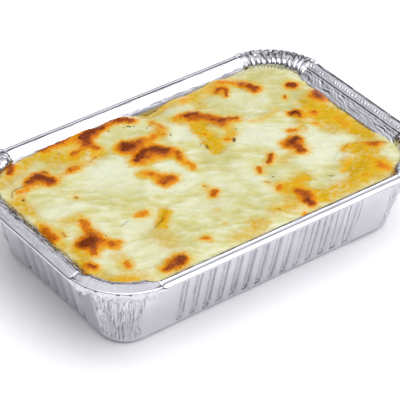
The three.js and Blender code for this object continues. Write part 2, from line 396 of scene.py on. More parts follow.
def rim_rows():
    """The same for the rim, from under its flange over the bead and down to below the food's top."""
    steps = {
        "seam": (1, 0.3, 0, 0.3, 0),
        "under_shoulder": (1, 0.3, 0, 0.7, 0),
        "under_crest": (1, 0, 0, 1, 0),
        "under_flange": (1, 0, 0.3, 0.7, 0),
        "bead_low_inner": (1, 0, 1, 0, 0),
        "bead_bottom": (2, 0, 1, 0, 0),
        "bead_low_outer": (4, 0, 1, 0, 0),
        "bead_middle": (4, 0, 0.8, 0.1, 0),
        "bead_high_outer": (2, 0, 0.3, 0.3, 0),
        "bead_top": (3, 0, 0, 0.7, 0),
        "valley": (3, 0, 0, 0.9, 0),
        "flange_low": (4, 0, 0, 1, 0),
        "flange_high": (5, 0, 0, 1, 0),
        "crest": (8, 0, 0, 1, 0),
        "slope": (10, 0, 0, 1, 0.2),
        "shoulder": (9, 0, 0, 0.9, 0.6),
        "lip": (7, 0, 0, 0.8, 0.6),
    }
    rows = [(rim_ring(name), count, *weights) for name, (count, *weights) in steps.items()]
    deep = 1.3 + 2.4 * np.maximum(ST["end"], 1.4 * ST["blend"])
    rows.append((wall_ring(41.0, deep), 1, 0, 0, 0.6, 0.4))
    rows.append((wall_ring(WALL_TOP, 2.3), 1, 0.5, 0, 0, 0.3))
    rows.append((rim_ring("seam"), 0, 0.3, 0, 0.3, 0))
    return rows


def rings(rows):
    """All rings through the given ones, and their weights."""
    points, weights, ids = [], [], []
    for k in range(len(rows) - 1):
        p1, p2 = rows[k][0], rows[k + 1][0]
        p0 = rows[k - 1][0] if k else p1 + (p1 - p2)
        p3 = rows[k + 2][0] if k + 2 < len(rows) else p2 + (p2 - p1)
        w1, w2 = np.array(rows[k][2:]), np.array(rows[k + 1][2:])
        for step in range(rows[k][1]):
            u = step / rows[k][1]
            points.append(p1 if step == 0 else spline(p0, p1, p2, p3, u))
            weights.append(mix(w1, w2, u))
    points.append(rows[-1][0])
    weights.append(np.array(rows[-1][2:]))
    return np.array(points), np.array(weights)


# ---------------------------------------------------------------- tray: relief


def run_length():
    """Length along the rim's outline, at every station."""
    outline = place(LENGTH / 2, WIDTH / 2, RIM_RADIUS, 0.0)
    steps = np.linalg.norm(np.diff(outline, axis=0, append=outline[:1]), axis=1)
    return np.concatenate([[0], np.cumsum(steps)[:-1]])


def flute_field(points):
    """How far the flutes press the wall in, at every point."""
    along = points[..., 0] * np.abs(ST["ax"]) + points[..., 1] * np.abs(ST["ay"])
    z = points[..., 2]
    count = np.where(ST["side"] % 2 == 0, FLUTES_LONG, FLUTES_SHORT)
    first = -(count - 1) / 2 * FLUTE_PITCH
    k = np.clip(np.round((along - first) / FLUTE_PITCH), 0, count - 1)
    gap = np.abs(along - first - k * FLUTE_PITCH)
    share = np.clip((FLUTE_HALF - gap) / (FLUTE_HALF - FLUTE_FLOOR), 0, 1)
    shape = mix(share, smooth(share), 0.25)
    own = 1 + 0.12 * noise(k * 3.7 + ST["side"] * 11, 0 * k, 5)
    ledge = 1.2 + 0.3 * noise(k * 2.3, ST["side"] * 7.0, 8)
    rise = np.clip((z - ledge) / 1.9, 0, 1)
    top = 1 - smooth((z - 32.5 - 0.5 * noise(k * 1.9, ST["side"] * 5.0, 9)) / 3.2)
    press = FLUTE_DEPTH * own * np.minimum(shape, rise) * top
    return np.where(ST["corner"], 0.0, press)


PLEATS = 13


def pleat_field(points):
    """Gathered folds of the corner walls, as an inward press."""
    rng = np.random.default_rng(41)
    z = points[..., 2]
    deg = ST["deg"][None, :]
    press = np.zeros(z.shape)
    for corner in range(4):
        here = ST["corner"] & (ST["side"] == corner)
        middles = (np.arange(PLEATS) + 0.5) * 90 / PLEATS + rng.uniform(-1.8, 1.8, PLEATS)
        for k, middle in enumerate(middles):
            width = rng.uniform(1.5, 3.0)
            depth = rng.uniform(0.7, 1.8)
            lean = rng.uniform(-8, 8)
            bow = rng.uniform(-6, 6)
            low = rng.uniform(-4, 6)
            high = rng.uniform(32, 48)
            wander = 1.6 * noise(z / 6.0, 0 * z + k * 3.1 + corner * 17, 77)
            share = z / 40 - 0.5
            centre = middle + lean * share + bow * (4 * share * share - 0.5) + wander
            gap = (deg - centre) / (width * mix(1.4, 1.0, z / 44))
            fold = np.exp(-np.abs(gap) ** 1.3)
            grow = mix(0.6, 1.0, smooth(z / 30)) * smooth((z - low) / 4)
            grow = grow * mix(0.4, 1.0, smooth((high - z) / 4))
            press += np.where(here, depth * fold * grow, 0.0)
    slant = deg + 9 * layered(deg / 24 + 3 * ST["side"], z / 15, 61, 2)
    fine = ridged(slant / 5.5, z / 13 + ST["side"] * 5, 60, 2)
    cross = layered(deg / 5, z / 4.5 + 7 * ST["side"], 62, 2)
    press += np.where(ST["corner"], (1.9 * fine + 0.8 * cross) * smooth((z - 1.5) / 5), 0.0)
    return press * np.where(ST["corner"], ST["up"], 0.0)


# Creases pressed into the flat panels: side, [(along, height)], depth, width. Along is X or Y.
CREASES = [
    (0, [(-82.8, 36.7), (-79.5, 33.0), (-73.9, 27.7), (-67.3, 26.2)], 0.45, 0.9),
    (0, [(-80.5, 34.0), (-76.5, 31.5), (-71.5, 30.6)], -0.25, 0.8),
    (0, [(-81.4, 26.0), (-78.9, 20.2), (-75.2, 14.2)], 0.5, 0.8),
    (0, [(-80.0, 21.0), (-77.9, 17.0), (-74.6, 12.4)], -0.35, 0.6),
    (0, [(-78.6, 13.8), (-76.2, 10.9), (-73.9, 9.2)], 0.4, 0.6),
    (0, [(-77.0, 9.4), (-74.6, 7.2)], 0.3, 0.6),
    (0, [(76.5, 33.0), (74.0, 30.6), (70.3, 28.9), (66.8, 26.9)], 0.45, 0.6),
    (0, [(70.8, 23.6), (73.5, 22.4), (75.8, 22.9)], 0.3, 0.5),
    (0, [(69.5, 25.3), (73.0, 24.6), (76.5, 25.4)], -0.2, 0.6),
    (3, [(44.0, 33.0), (46.0, 28.0), (45.5, 22.0)], 0.35, 0.7),
    (3, [(-38.0, 36.0), (-35.0, 31.5), (-31.0, 29.5)], 0.3, 0.7),
    (1, [(-40.0, 34.0), (-36.0, 29.0), (-31.0, 27.0)], 0.4, 0.8),
    (1, [(39.0, 30.0), (36.5, 22.0), (33.0, 17.0)], 0.35, 0.7),
    (2, [(80.0, 33.0), (74.0, 29.0), (67.0, 27.5)], 0.4, 0.8),
    (2, [(-80.5, 25.0), (-76.0, 18.0), (-73.0, 13.0)], 0.4, 0.7),
    (2, [(-78.0, 34.5), (-72.0, 31.0), (-65.0, 31.5)], 0.3, 0.7),
]


CREASE_GAIN = 1.8


def distance_to_line(x, y, line):
    """Distance from every point to a line of straight stretches, and how far along it is (0 to 1)."""
    best = np.full(np.shape(x), 1e9)
    where = np.zeros(np.shape(x))
    line = [np.array(p, float) for p in line]
    if len(line) == 1:
        return np.hypot(x - line[0][0], y - line[0][1]), where
    for k in range(len(line) - 1):
        a, b = line[k], line[k + 1]
        d = b - a
        t = np.clip(((x - a[0]) * d[0] + (y - a[1]) * d[1]) / (d @ d), 0, 1)
        gap = np.hypot(x - a[0] - t * d[0], y - a[1] - t * d[1])
        where = np.where(gap < best, (k + t) / (len(line) - 1), where)
        best = np.minimum(best, gap)
    return best, where


def crease_field(points):
    """How far the listed creases press the wall in."""
    z = points[..., 2]
    press = np.zeros(z.shape)
    for side, line, depth, width in CREASES:
        along = points[..., 0] if side % 2 == 0 else points[..., 1]
        out = points[..., 1] if side % 2 == 0 else points[..., 0]
        sign = -1 if side in (0, 3) else 1
        inner = 45 if side % 2 == 0 else 80
        gap, where = distance_to_line(along, z, line)
        taper = np.sin(np.pi * mix(0.12, 0.95, where))
        fold = CREASE_GAIN * depth * taper * np.exp(-((gap / width) ** 2))
        press += np.where(out * sign > inner, fold, 0.0)
    return press


# Lines embossed along the rim: (inset, height) of each.
NEAR_LINES = ((2.2, -0.08), (2.8, 0.1), (5.3, 0.14), (5.9, -0.16))
FAR_LINES = ((3.4, -0.3), (4.4, 0.35), (7.6, -0.5), (8.3, 0.45), (9.0, -0.5), (9.7, 0.4))
FRONT_LINES = ((8.8, 0.14), (9.6, -0.16))
TICK_PITCH = 1.5
DENT_PITCH = 2.1
PLEAT_PITCH = 4.4


def grooves(inset, width, places):
    """Lines along the rim, all of one width."""
    return sum(np.exp(-(((inset - at) / width) ** 2)) * size for at, size in places)


def near_relief(s, inset):
    """Near end: hatching and long scratches."""
    hatch = np.exp(-(((inset - 3.7) / 0.7) ** 2)) * smooth(0.6 + 1.6 * noise(s / 9, 0 * s, 25))
    ticks = 0.2 * hatch * np.clip(2 * np.sin((s + 0.8 * inset) * 2 * np.pi / TICK_PITCH), -1, 1)
    scratches = 0.2 * streaked((s + 2 * inset) / 9, inset / 0.8, 26)
    lines = grooves(inset, 0.26, NEAR_LINES)
    return lines + ticks + scratches + 0.07 * layered(s / 1.5, inset / 1.2, 39)


def far_relief(s, inset):
    """Far end: a row of dents between sharp lines."""
    row = np.exp(-(((inset - 6.1) / 0.75) ** 4))
    wave = (s + 0.7 * inset) * 2 * np.pi / DENT_PITCH + 2.0 * noise(s / 5, 0 * s, 24)
    dents = row * smooth(0.5 + 1.2 * np.sin(wave))
    lines = grooves(inset, 0.3, FAR_LINES)
    scratches = 0.14 * streaked((s + inset) / 9, inset / 0.7, 26)
    return lines - 0.7 * dents + 1.8 * scratches + 0.06 * layered(s / 1.5, inset / 1.2, 39)


def long_relief(s, inset):
    """Long sides: fine lines and slow waves."""
    lines = 0.05 * np.sin(inset * 2 * np.pi / 1.4) * smooth((inset - 2.4) / 0.5)
    return lines + 0.09 * streaked(s / 14, inset / 1.1, 27)


def corner_relief(s, inset):
    """Corners: radial folds, strong at the back and slight at the front. The back one droops."""
    side = ST["side"][None, :]
    sharp = np.clip(2.0 * streaked(inset / 10 + 0.1 * s, (s + 0.2 * inset) / 2.6, 28, 2, 0.6), -1, 1)
    whole = 0.75 * sharp + 0.2 * layered(s / 0.9, inset / 3.5, 29)
    narrow = np.clip(2.2 * streaked(inset / 9, (s + 0.3 * inset) / 1.25, 30, 2, 0.5), -1, 1)
    inner = 0.5 * narrow * smooth((inset - 5.2) / 1.5)
    bent = (s + 0.35 * inset + 1.2 * noise(s / 5, inset / 4, 47)) / PLEAT_PITCH
    part = bent - np.floor(bent)
    saw = np.where(part < 0.8, part / 0.8, (1 - part) / 0.2) - 0.5
    size = 0.9 + 0.9 * smooth((ST["deg"] - 30) / 20)[None, :]
    droop = 0.07 * np.maximum(6.0 - inset, 0.0)
    back = -size * saw * smooth((inset - 0.4) / 0.8) + 0.4 * sharp - droop
    left = inner + 0.12 * whole
    right = 0.6 * whole * smooth((inset - 0.4) / 1.2) + 0.5 * inner
    front = 0.07 * whole + grooves(inset, 0.3, FRONT_LINES)
    return np.select([side == 0, side == 1, side == 2, side == 3], [right, back, left, front])


def tray_relief(points, weights):
    """Moves the smooth tray's points to the real, creased foil."""
    s = run_length()[None, :]
    z = points[..., 2]
    side = ST["side"][None, :]
    corner = ST["corner"][None, :]
    up = ST["up"][None, :]
    w_wall, w_skirt, w_flange, w_inside = [weights[:, k][:, None] for k in range(4)]
    outline_x, outline_y = LENGTH / 2, WIDTH / 2
    inset = np.minimum(outline_x - np.abs(points[..., 0]), outline_y - np.abs(points[..., 1]))
    reach = np.hypot(
        np.maximum(np.abs(points[..., 0]) - (outline_x - RIM_RADIUS), 0),
        np.maximum(np.abs(points[..., 1]) - (outline_y - RIM_RADIUS), 0),
    )
    inset = np.where(corner, RIM_RADIUS - reach, inset)

    # Walls: flutes, gathers, creases and a little waviness.
    press = flute_field(points) + pleat_field(points) + crease_field(points)
    press += 0.10 * layered(s / 14, z / 11, 3) + 0.035 * layered(s / 2.2, z / 6, 4)
    outward = -press * w_wall

    # Corner skirts are crimped. The beads of the sides wave only a little.
    crimp = 1.3 * ridged(s / 3.2 + 0.2 * z, z / 7, 12, 2) - 0.6
    crimp = crimp + 0.55 * layered(s / 2.0, z / 2.2, 14, 2)
    bead = 0.05 * layered(s / 9, 0 * s, 15) + 0.02 * noise(s / 1.7, z * 0, 16)
    hang = np.clip((46.1 - z) / 1.2, 0, 1)
    outward += -w_skirt * mix(bead, crimp * hang + 0.05 * noise(s / 1.5, 0 * s, 19), up)
    drop = np.clip((45.5 - z) / 3.5, 0, 1)
    ragged = w_skirt * up * drop * (1.6 * noise(s / 4.1, 0 * s, 21) + 0.7 * noise(s / 1.6, 0 * s, 22))

    # Flange: embossed lines on the ends, pleats in the corners, fine waves along the sides.
    is_end = (side % 2 == 1) & ~corner
    is_long = (side % 2 == 0) & ~corner
    is_far = (side == 1) & ~corner
    lift = np.where(side < 2, far_relief(s, inset), near_relief(s, inset))
    lift = mix(long_relief(s, inset), lift, ST["end"])
    lift = np.where(corner, mix(lift, corner_relief(s, inset), ST["blend"]), lift)

    # Inner slope: crumpled along the ends, finely pleated along the sides and in the corners.
    drift = (z - 42) + 0.07 * s + 1.2 * noise(s / 11, 0 * s, 32)
    leaves = 0.7 * streaked(s / 7.5, drift / 1.9, 33, 3, 0.6)
    pleated = 0.5 * streaked(z / 12, s / 1.5, 34, 2) + 0.3 * streaked(s / 7, drift / 2.4, 36)
    folded = 0.8 * streaked(z / 14, s / 2.2, 35, 2) + 0.3 * layered(s / 4, z / 2.6, 37)
    crumple = np.where(is_end, leaves, np.where(is_long, pleated, folded))
    outward += w_inside * crumple * smooth((z - 42.8) / 1.4)
    bent = inset + 0.10 * s + 1.4 * noise(s / 9, inset / 6, 40)
    leaf = streaked(s / 14, bent / 1.15, 38, 3, 0.6)
    leaf = leaf * smooth((inset - np.where(is_far, 9.0, 4.6)) / 1.0)
    curl = 1.1 * inset + 0.30 * s + 2.2 * noise(s / 9, inset / 6, 45)
    grain = 0.20 * np.sin(2 * np.pi * curl / 1.6) * smooth((inset - 9.0) / 0.8)
    fold = np.where(is_far, 0.35 * leaf + grain, 0.55 * leaf)
    lift = lift + np.where(is_end, fold, 0.15 * leaf) * smooth((15.4 - inset) / 1.0)

    moved = points + outward[..., None] * outward_unit()[None]
    moved[..., 2] += w_flange * lift + ragged
    # Notches where the rolled bead ends and the corner's flange begins.
    from_side = np.minimum(ST["deg"], 90 - ST["deg"])
    notch = np.where(corner, np.exp(-(((from_side - 3.0) / 1.3) ** 2)), 0)
    moved[..., 2] -= (w_flange + w_skirt) * 0.45 * notch * (0.6 + 0.8 * noise(s / 0.9, inset, 44))
    return moved


def keep_in_box(points):
    """Clips every point to the CAD box."""
    low, high = np.array(CAD_LOW) / MM, np.array(CAD_HIGH) / MM
    return np.clip(points, low, high)


def skin(name, rows, capped):
    """One foil mesh through the given rings, with a face over each end if it's capped."""
    points, weights = rings(rows)
    moved = keep_in_box(tray_relief(points, weights))
    count = moved.shape[0]
    quads = grid_quads(count, COUNT, True)
    first = list(range(COUNT))[::-1]
    last = [(count - 1) * COUNT + i for i in range(COUNT)]
    return make_mesh(name, moved.reshape(-1, 3), quads, [first, last] if capped else [])


def build_tray():
    """The walls with the base, and the rim, which meet under the flange and behind the food."""
    use_stations(True)
    walls = skin("foil_walls", wall_rows(), True)
    use_stations(False)
    rim = skin("foil_rim", rim_rows(), False)
    return walls, rim


# ---------------------------------------------------------------- food: relief

# Humps and hollows of the melted top: [x, y, radius along, radius across, turn in degrees, height].
LUMPS = [
    (-62, 12, 34, 38, 0, 0.7),
    (-72, 40, 10, 4, -30, 2.0),
    (-86, 39, 7, 3, 0, 1.5),
    (-30, 60, 14, 5, 0, 3.2),
    (-52, 62, 12, 5, 0, 2.6),
    (-80, 57, 8, 5, 0, 1.8),
    (-8, 59, 9, 5, -30, 2.4),
    (-17, 37, 8, 4, -15, 1.9),
    (-13, 26, 11, 4, -15, 2.2),
    (3, 38, 4, 7, 20, 2.0),
    (-3, 13, 4, 5, 0, 1.0),
    (-23, 5, 4, 8, 35, 1.0),
    (-54, 37, 5, 4, 0, 1.5),
    (-41, -25, 9, 3.5, 50, 1.0),
    (-82, -20, 8, 7, 0, 2.4),
    (-58, -57, 9, 4, 5, 2.4),
    (-93, -33, 5, 6, 0, 1.6),
    (-95, 0, 4, 8, 0, 1.2),
    (30, 33, 5, 13, 40, 3.0),
    (17, 20, 5, 9, 0, 1.4),
    (51, 50, 5, 5, 0, 1.3),
    (66, 43, 5, 5, 0, 2.0),
    (57, 57, 11, 3, -45, 1.6),
    (87, 18, 6, 8, 0, 2.6),
    (71, 7, 4, 9, -20, 2.2),
    (53, -12, 5, 6, 0, 2.0),
    (35, -15, 4, 4, 0, 0.9),
    (56, 17, 12, 3, -15, 1.3),
    (27, -50, 5, 11, 25, 2.0),
    (84, -40, 11, 11, 0, 3.0),
    (70, -54, 12, 8, 0, 2.2),
    (84, 49, 12, 9, -40, 2.2),
    (13, 59, 9, 6, 0, -3.2),
    (98, -2, 5, 18, 0, -1.4),
    (-91, -54, 9, 9, 0, 2.2),
    (-30, -20, 30, 22, 20, -0.7),
    (48, 30, 9, 7, 0, -1.0),
    (58, -32, 10, 8, 0, -1.0),
]

# Browned places: strength, radius, line through the middle. Strength 1 is the darkest.
BROWN = [
    (0.80, 2.2, [(-80, 41.2), (-74, 43)]),
    (0.95, 3.3, [(-73, 41), (-69.8, 36.3)]),
    (0.55, 1.3, [(-68.6, 44.6)]),
    (0.45, 2.6, [(-88.5, 37.4), (-84.5, 37)]),
    (0.40, 0.9, [(-90.2, 31.2)]),
    (0.75, 2.1, [(-83, 54.2), (-78.8, 59.3)]),
    (0.75, 2.1, [(-57, 62.6), (-50, 63), (-42, 63)]),
    (0.40, 3.0, [(-51, 60.5), (-46, 60)]),
    (0.45, 2.0, [(-58.2, 60.8)]),
    (0.55, 2.6, [(-54.5, 38), (-52, 38)]),
    (0.38, 1.6, [(-60.5, 37), (-57, 37.6)]),
    (0.35, 1.6, [(-45, 38.5), (-43.5, 36.8)]),
    (0.45, 1.1, [(-39.4, 40.3)]),
    (0.30, 2.6, [(-49, 45.5), (-46.5, 49)]),
    (0.62, 2.8, [(-33, 56), (-35.5, 52), (-34.5, 46)]),
    (0.48, 1.9, [(-36, 53.5), (-41, 50.5), (-46.5, 49.3)]),
    (0.42, 1.4, [(-67.4, 16.8)]),
    (0.66, 2.5, [(-95.6, 2.5), (-95.8, -5.5)]),
    (0.35, 2.4, [(-95, 7)]),
    (1.00, 2.8, [(-35, 58.4), (-31, 59.4), (-27.5, 60)]),
    (0.85, 1.9, [(-28, 60.3), (-22, 60.2)]),
    (0.60, 1.5, [(-21, 60.2), (-14, 60.6)]),
    (0.85, 2.2, [(-10.5, 61), (-7, 59.4), (-4.2, 56.6)]),
    (0.45, 1.1, [(2.8, 49.2)]),
    (0.38, 0.9, [(3.6, 48), (5, 44), (5.4, 40.5)]),
    (0.40, 2.6, [(2.4, 42), (2.2, 36.8)]),
    (0.52, 2.2, [(-7, 35.8), (-3.4, 37.4)]),
    (1.00, 2.7, [(-20.6, 40), (-19.4, 37.6)]),
    (0.90, 1.5, [(-23.4, 36.4), (-20.5, 36)]),
    (0.60, 3.0, [(-22.5, 37), (-14, 36.5)]),
    (0.50, 1.3, [(-13, 37.8), (-10.8, 38.2)]),
    (1.00, 2.1, [(-24, 24.5), (-19.5, 27.6), (-14.5, 30.2), (-9.5, 28)]),
    (0.90, 2.5, [(-8.6, 26.4), (-5.9, 24)]),
    (0.60, 2.5, [(-19, 24.4), (-12, 25), (-8, 22.5)]),
    (0.35, 2.2, [(-17.5, 21), (-10, 20.5)]),
    (0.66, 2.0, [(-1.9, 18.8), (-4, 13.6)]),
    (0.48, 1.8, [(-4.4, 8.5), (-2, 5.6), (-4, 2)]),
    (0.42, 2.6, [(-28, 13.4), (-25.5, 13)]),
    (0.50, 1.9, [(-24, 10.4), (-22, 7)]),
    (0.62, 2.6, [(-23.5, 2), (-19, 3)]),
    (0.50, 2.6, [(-23, -0.5), (-17.5, 0)]),
    (0.60, 3.0, [(-76.4, -2.4), (-78, -9), (-79, -13)]),
    (0.75, 3.4, [(-87.5, -18.8), (-80, -18.5)]),
    (1.00, 2.5, [(-86.3, -17.6), (-82.5, -18.3)]),
    (0.70, 2.0, [(-84, -22.5), (-86.8, -27.8)]),
    (0.42, 2.6, [(-77.5, -22), (-76, -25)]),
    (0.52, 1.9, [(-76.5, -26.8), (-71.4, -27)]),
    (0.38, 1.2, [(-74.8, -30.5)]),
    (0.35, 1.0, [(-89.5, -3), (-90, -7)]),
    (0.55, 1.3, [(-94.6, -31.6), (-93.6, -33.8)]),
    (0.72, 1.9, [(-94.4, -34.6), (-92.8, -36.6)]),
    (0.58, 1.9, [(-78, -42.6), (-79, -45.6)]),
    (0.35, 3.0, [(-86, -52.5), (-84.5, -55.5)]),
    (0.80, 1.8, [(-66, -58.8), (-62, -58.2)]),
    (0.60, 2.4, [(-59.5, -57.6), (-58, -57)]),
    (0.90, 2.8, [(-56.5, -57.5), (-54, -56)]),
    (0.50, 2.6, [(-50.5, -14.6), (-47, -15)]),
    (0.40, 1.9, [(-38, -21), (-41, -24.6), (-45, -26.6)]),
    (0.45, 1.5, [(-36.6, -49), (-34.4, -49.6)]),
    (0.35, 1.2, [(-33.8, -50.5), (-33.5, -53)]),
    (0.42, 1.5, [(-9, -14.6)]),
    (0.68, 1.9, [(-7, -21), (-10, -23)]),
    (0.45, 1.3, [(19.2, -30.4)]),
    (0.66, 1.5, [(23.6, -18.2), (22, -21)]),
    (0.76, 1.5, [(36.4, -12.4), (31.2, -17)]),
    (0.42, 1.2, [(9.6, -51.9)]),
    (0.32, 1.2, [(14.6, -52), (17.6, -54)]),
    (0.50, 2.0, [(18.2, -63)]),
    (0.56, 2.2, [(20.6, -38.4), (22.6, -37)]),
    (0.72, 2.5, [(27.6, -45.3), (28.3, -49)]),
    (0.45, 2.2, [(31, -49.5), (30.6, -52)]),
    (0.90, 2.5, [(26.8, -54), (26.6, -58)]),
    (0.35, 2.2, [(32, -39.5), (37.5, -39)]),
    (0.45, 1.6, [(14.2, 43.4), (16.6, 45), (19, 44.8)]),
    (0.90, 1.3, [(20.8, 42), (23.6, 42.6), (26.8, 41)]),
    (0.66, 3.2, [(22, 38.5), (27, 37.5), (31, 34)]),
    (0.58, 2.6, [(31, 30), (32.5, 26)]),
    (0.78, 1.9, [(34, 28), (37.6, 26.8), (41.8, 25)]),
    (0.55, 1.3, [(20, 23.4)]),
    (0.45, 1.0, [(17, 27)]),
    (0.52, 1.9, [(25.4, 12.4), (27, 11.6)]),
    (0.30, 2.0, [(31.5, 17), (33, 14)]),
    (0.36, 3.0, [(28, 55), (32, 56.5)]),
    (0.36, 2.0, [(16.8, 57)]),
    (0.72, 1.1, [(48.6, 51.5), (51, 53.4), (53.4, 52.6)]),
    (0.72, 1.3, [(54, 50.6), (52.4, 47.6), (50.6, 45.6)]),
    (0.30, 4.2, [(45.5, 55), (52, 57.5)]),
    (0.45, 2.0, [(57, 58.4), (61.5, 55), (65, 50)]),
    (0.55, 1.8, [(64.4, 49.6)]),
    (0.85, 2.6, [(66.4, 44.4), (67.6, 41.8)]),
    (0.55, 1.4, [(65.6, 39.6)]),
    (0.95, 2.4, [(85.3, 33.4), (86.4, 32)]),
    (0.50, 1.4, [(76.2, 26.6), (75.3, 25)]),
    (0.80, 2.5, [(92.4, 19), (90.8, 15.4)]),
    (0.45, 3.4, [(88.4, 17.6), (92, 12)]),
    (0.66, 2.6, [(79, 5.4)]),
    (0.78, 1.6, [(68.4, 12), (71.6, 11.4)]),
    (0.72, 1.4, [(71.8, 10), (70.8, 6)]),
    (0.30, 1.3, [(45.5, 19), (50, 16.4), (57, 17), (65.6, 19)]),
    (0.52, 2.0, [(57.6, -0.8), (60.6, -2.4)]),
    (0.42, 1.6, [(73, -2.4), (74, -4.6)]),
    (0.40, 1.6, [(47, -7.4), (46.6, -12)]),
    (0.80, 3.0, [(51, -11), (52, -15), (51.4, -18.6)]),
    (1.00, 2.0, [(53.6, -8.9), (56, -9.6)]),
    (0.38, 3.6, [(86.5, -6), (86, -13)]),
    (0.38, 1.3, [(68, -32), (74, -29.2), (80, -30.6), (86, -34), (91.4, -38.6)]),
    (0.62, 2.0, [(84.6, -35.6), (87, -37.2)]),
    (0.34, 3.2, [(76, -44), (77.4, -50)]),
    (0.50, 2.6, [(76.4, -54), (78, -57)]),
    (0.44, 2.0, [(64.4, -55)]),
    (0.34, 1.2, [(57, -46), (62, -43.4), (66, -41)]),
]

# Oily golden places: strength, radius, line.
GOLD = [
    (0.60, 4.5, [(-94, 32), (-93.5, 20)]),
    (0.55, 4.0, [(-96, 9), (-97, -12)]),
    (0.55, 4.5, [(-95, -28), (-97, -42), (-92, -50)]),
    (0.55, 5.0, [(-88, -54), (-80, -57)]),
    (0.50, 5.0, [(-90, 47), (-78, 54)]),
    (0.55, 4.5, [(-73, 58), (-60, 59)]),
    (0.55, 4.5, [(-58, 56), (-54, 52)]),
    (0.45, 5.0, [(-60, 48), (-50, 46)]),
    (0.65, 4.5, [(-48, 60), (-38, 58)]),
    (0.70, 4.5, [(-47, 47), (-38, 50), (-36, 42)]),
    (0.70, 3.6, [(-26, 39), (-24, 33), (-12, 33)]),
    (0.60, 3.4, [(-27, 24), (-20, 21), (-8, 20)]),
    (0.65, 3.4, [(-29, 13), (-24, 10), (-25, 3)]),
    (0.60, 3.0, [(-4, 19), (-5, 6)]),
    (0.50, 3.6, [(-8, 36), (2, 38)]),
    (0.50, 4.0, [(6, 55), (18, 57), (34, 57)]),
    (0.45, 4.0, [(33, 46), (36, 55)]),
    (0.60, 3.4, [(14, 43), (20, 36), (27, 32)]),
    (0.85, 4.6, [(20, 29), (20, 20), (17, 10)]),
    (0.60, 3.2, [(27, 14), (32, 16), (34, 21)]),
    (0.45, 5.0, [(42, 56), (58, 57)]),
    (0.40, 4.0, [(63, 54), (68, 46)]),
    (0.75, 6.5, [(84, 14), (86, 0)]),
    (0.80, 5.5, [(79, 6), (88, -8)]),
    (0.85, 5.5, [(87, -14), (89, -26)]),
    (0.55, 4.5, [(76, -2), (78, -14)]),
    (0.50, 3.0, [(70, 6), (64, -4)]),
    (0.75, 5.5, [(74, -33), (84, -37)]),
    (0.75, 6.0, [(64, -44), (76, -46)]),
    (0.85, 6.0, [(62, -55), (76, -54)]),
    (0.60, 6.0, [(52, -57), (38, -57)]),
    (0.75, 4.5, [(24, -40), (38, -38)]),
    (0.70, 4.5, [(30, -46), (33, -56)]),
    (0.50, 4.5, [(22, -48), (16, -55), (8, -52)]),
    (0.55, 4.0, [(-7, -54), (-3, -56)]),
    (0.40, 5.0, [(-20, -59), (-10, -60)]),
    (0.35, 1.8, [(-15.7, -34)]),
    (0.45, 1.6, [(-19.6, -46)]),
    (0.85, 3.4, [(-38, -20), (-46, -28)]),
    (0.35, 6.0, [(-50, -34), (-52, -42)]),
    (0.50, 2.6, [(-49, -15)]),
    (0.55, 3.4, [(-66, -56), (-56, -54)]),
    (0.60, 3.6, [(-76, -28), (-79, -22)]),
    (0.45, 3.6, [(-84, 3), (-76, 2)]),
    (0.60, 4.2, [(-92, -20), (-86, -26)]),
    (0.40, 4.0, [(-78, -36), (-80, -44)]),
    (0.40, 3.0, [(46, -18), (38, -20)]),
]

# Clear, greener places where the fat has parted: strength, radius, line.
CLEAR = [
    (0.55, 8.0, [(-60, 46), (-70, 48)]),
    (0.45, 7.0, [(-26, 52), (-12, 46)]),
    (0.50, 6.0, [(8, 46), (12, 50)]),
    (0.55, 9.0, [(42, 44), (48, 36)]),
    (0.60, 12.0, [(78, 44), (76, 30)]),
    (0.45, 9.0, [(-55, 8), (-45, 0)]),
    (0.50, 7.0, [(8, 4), (10, -8)]),
    (0.65, 4.0, [(20, 8), (18, -2)]),
    (0.45, 9.0, [(-50, -34), (-45, -42)]),
    (0.40, 8.0, [(-15, -32), (5, -40)]),
    (0.55, 3.0, [(-40, -24), (-54, -32)]),
    (0.45, 5.0, [(48, -46), (56, -44)]),
    (0.50, 4.0, [(26, -24), (24, -32)]),
    (0.50, 3.0, [(58, 18), (66, 20)]),
    (0.45, 5.0, [(38, -22), (46, -26)]),
]

# Thick white melted cheese: strength, radius, line.
WHITE = [
    (0.85, 5.0, [(6, 32), (14, 36)]),
    (0.80, 4.0, [(10, 26), (12, 30)]),
    (0.75, 6.0, [(44, 10), (52, 4)]),
    (0.90, 7.0, [(36, 8), (46, -2)]),
    (0.85, 6.0, [(64, -18), (74, -24)]),
    (0.90, 6.5, [(48, -26), (60, -28), (66, -34)]),
    (0.80, 5.0, [(60, 0), (66, -10)]),
    (0.85, 8.0, [(-44, 28), (-34, 26)]),
    (0.65, 9.0, [(-52, 22), (-38, 14)]),
    (0.80, 4.5, [(-14, 12), (-11, 7)]),
    (0.85, 5.0, [(-30, -2), (-22, -8), (-12, -6)]),
    (0.70, 3.5, [(-40, 44), (-42, 46)]),
    (0.65, 6.0, [(-76, 10), (-86, 14)]),
    (0.60, 4.5, [(-72, -14), (-72, -6)]),
    (0.60, 6.0, [(-60, -22), (-48, -24)]),
    (0.60, 6.0, [(-84, -33), (-70, -34)]),
    (0.55, 7.0, [(-60, -44), (-66, -50)]),
    (0.50, 6.0, [(0, -12), (4, -24)]),
    (0.55, 5.0, [(16, -10), (17, -36)]),
    (0.60, 5.0, [(82, -44), (86, -48)]),
    (0.55, 4.0, [(54, -50), (46, -52)]),
    (0.50, 5.0, [(20, 52), (24, 49)]),
    (0.45, 6.0, [(52, 40), (56, 30)]),
    (0.50, 3.0, [(64, 28), (68, 36)]),
    (0.45, 6.0, [(-10, -30), (-30, -24)]),
    (0.60, 3.0, [(-90, 44), (-80, 50)]),
]

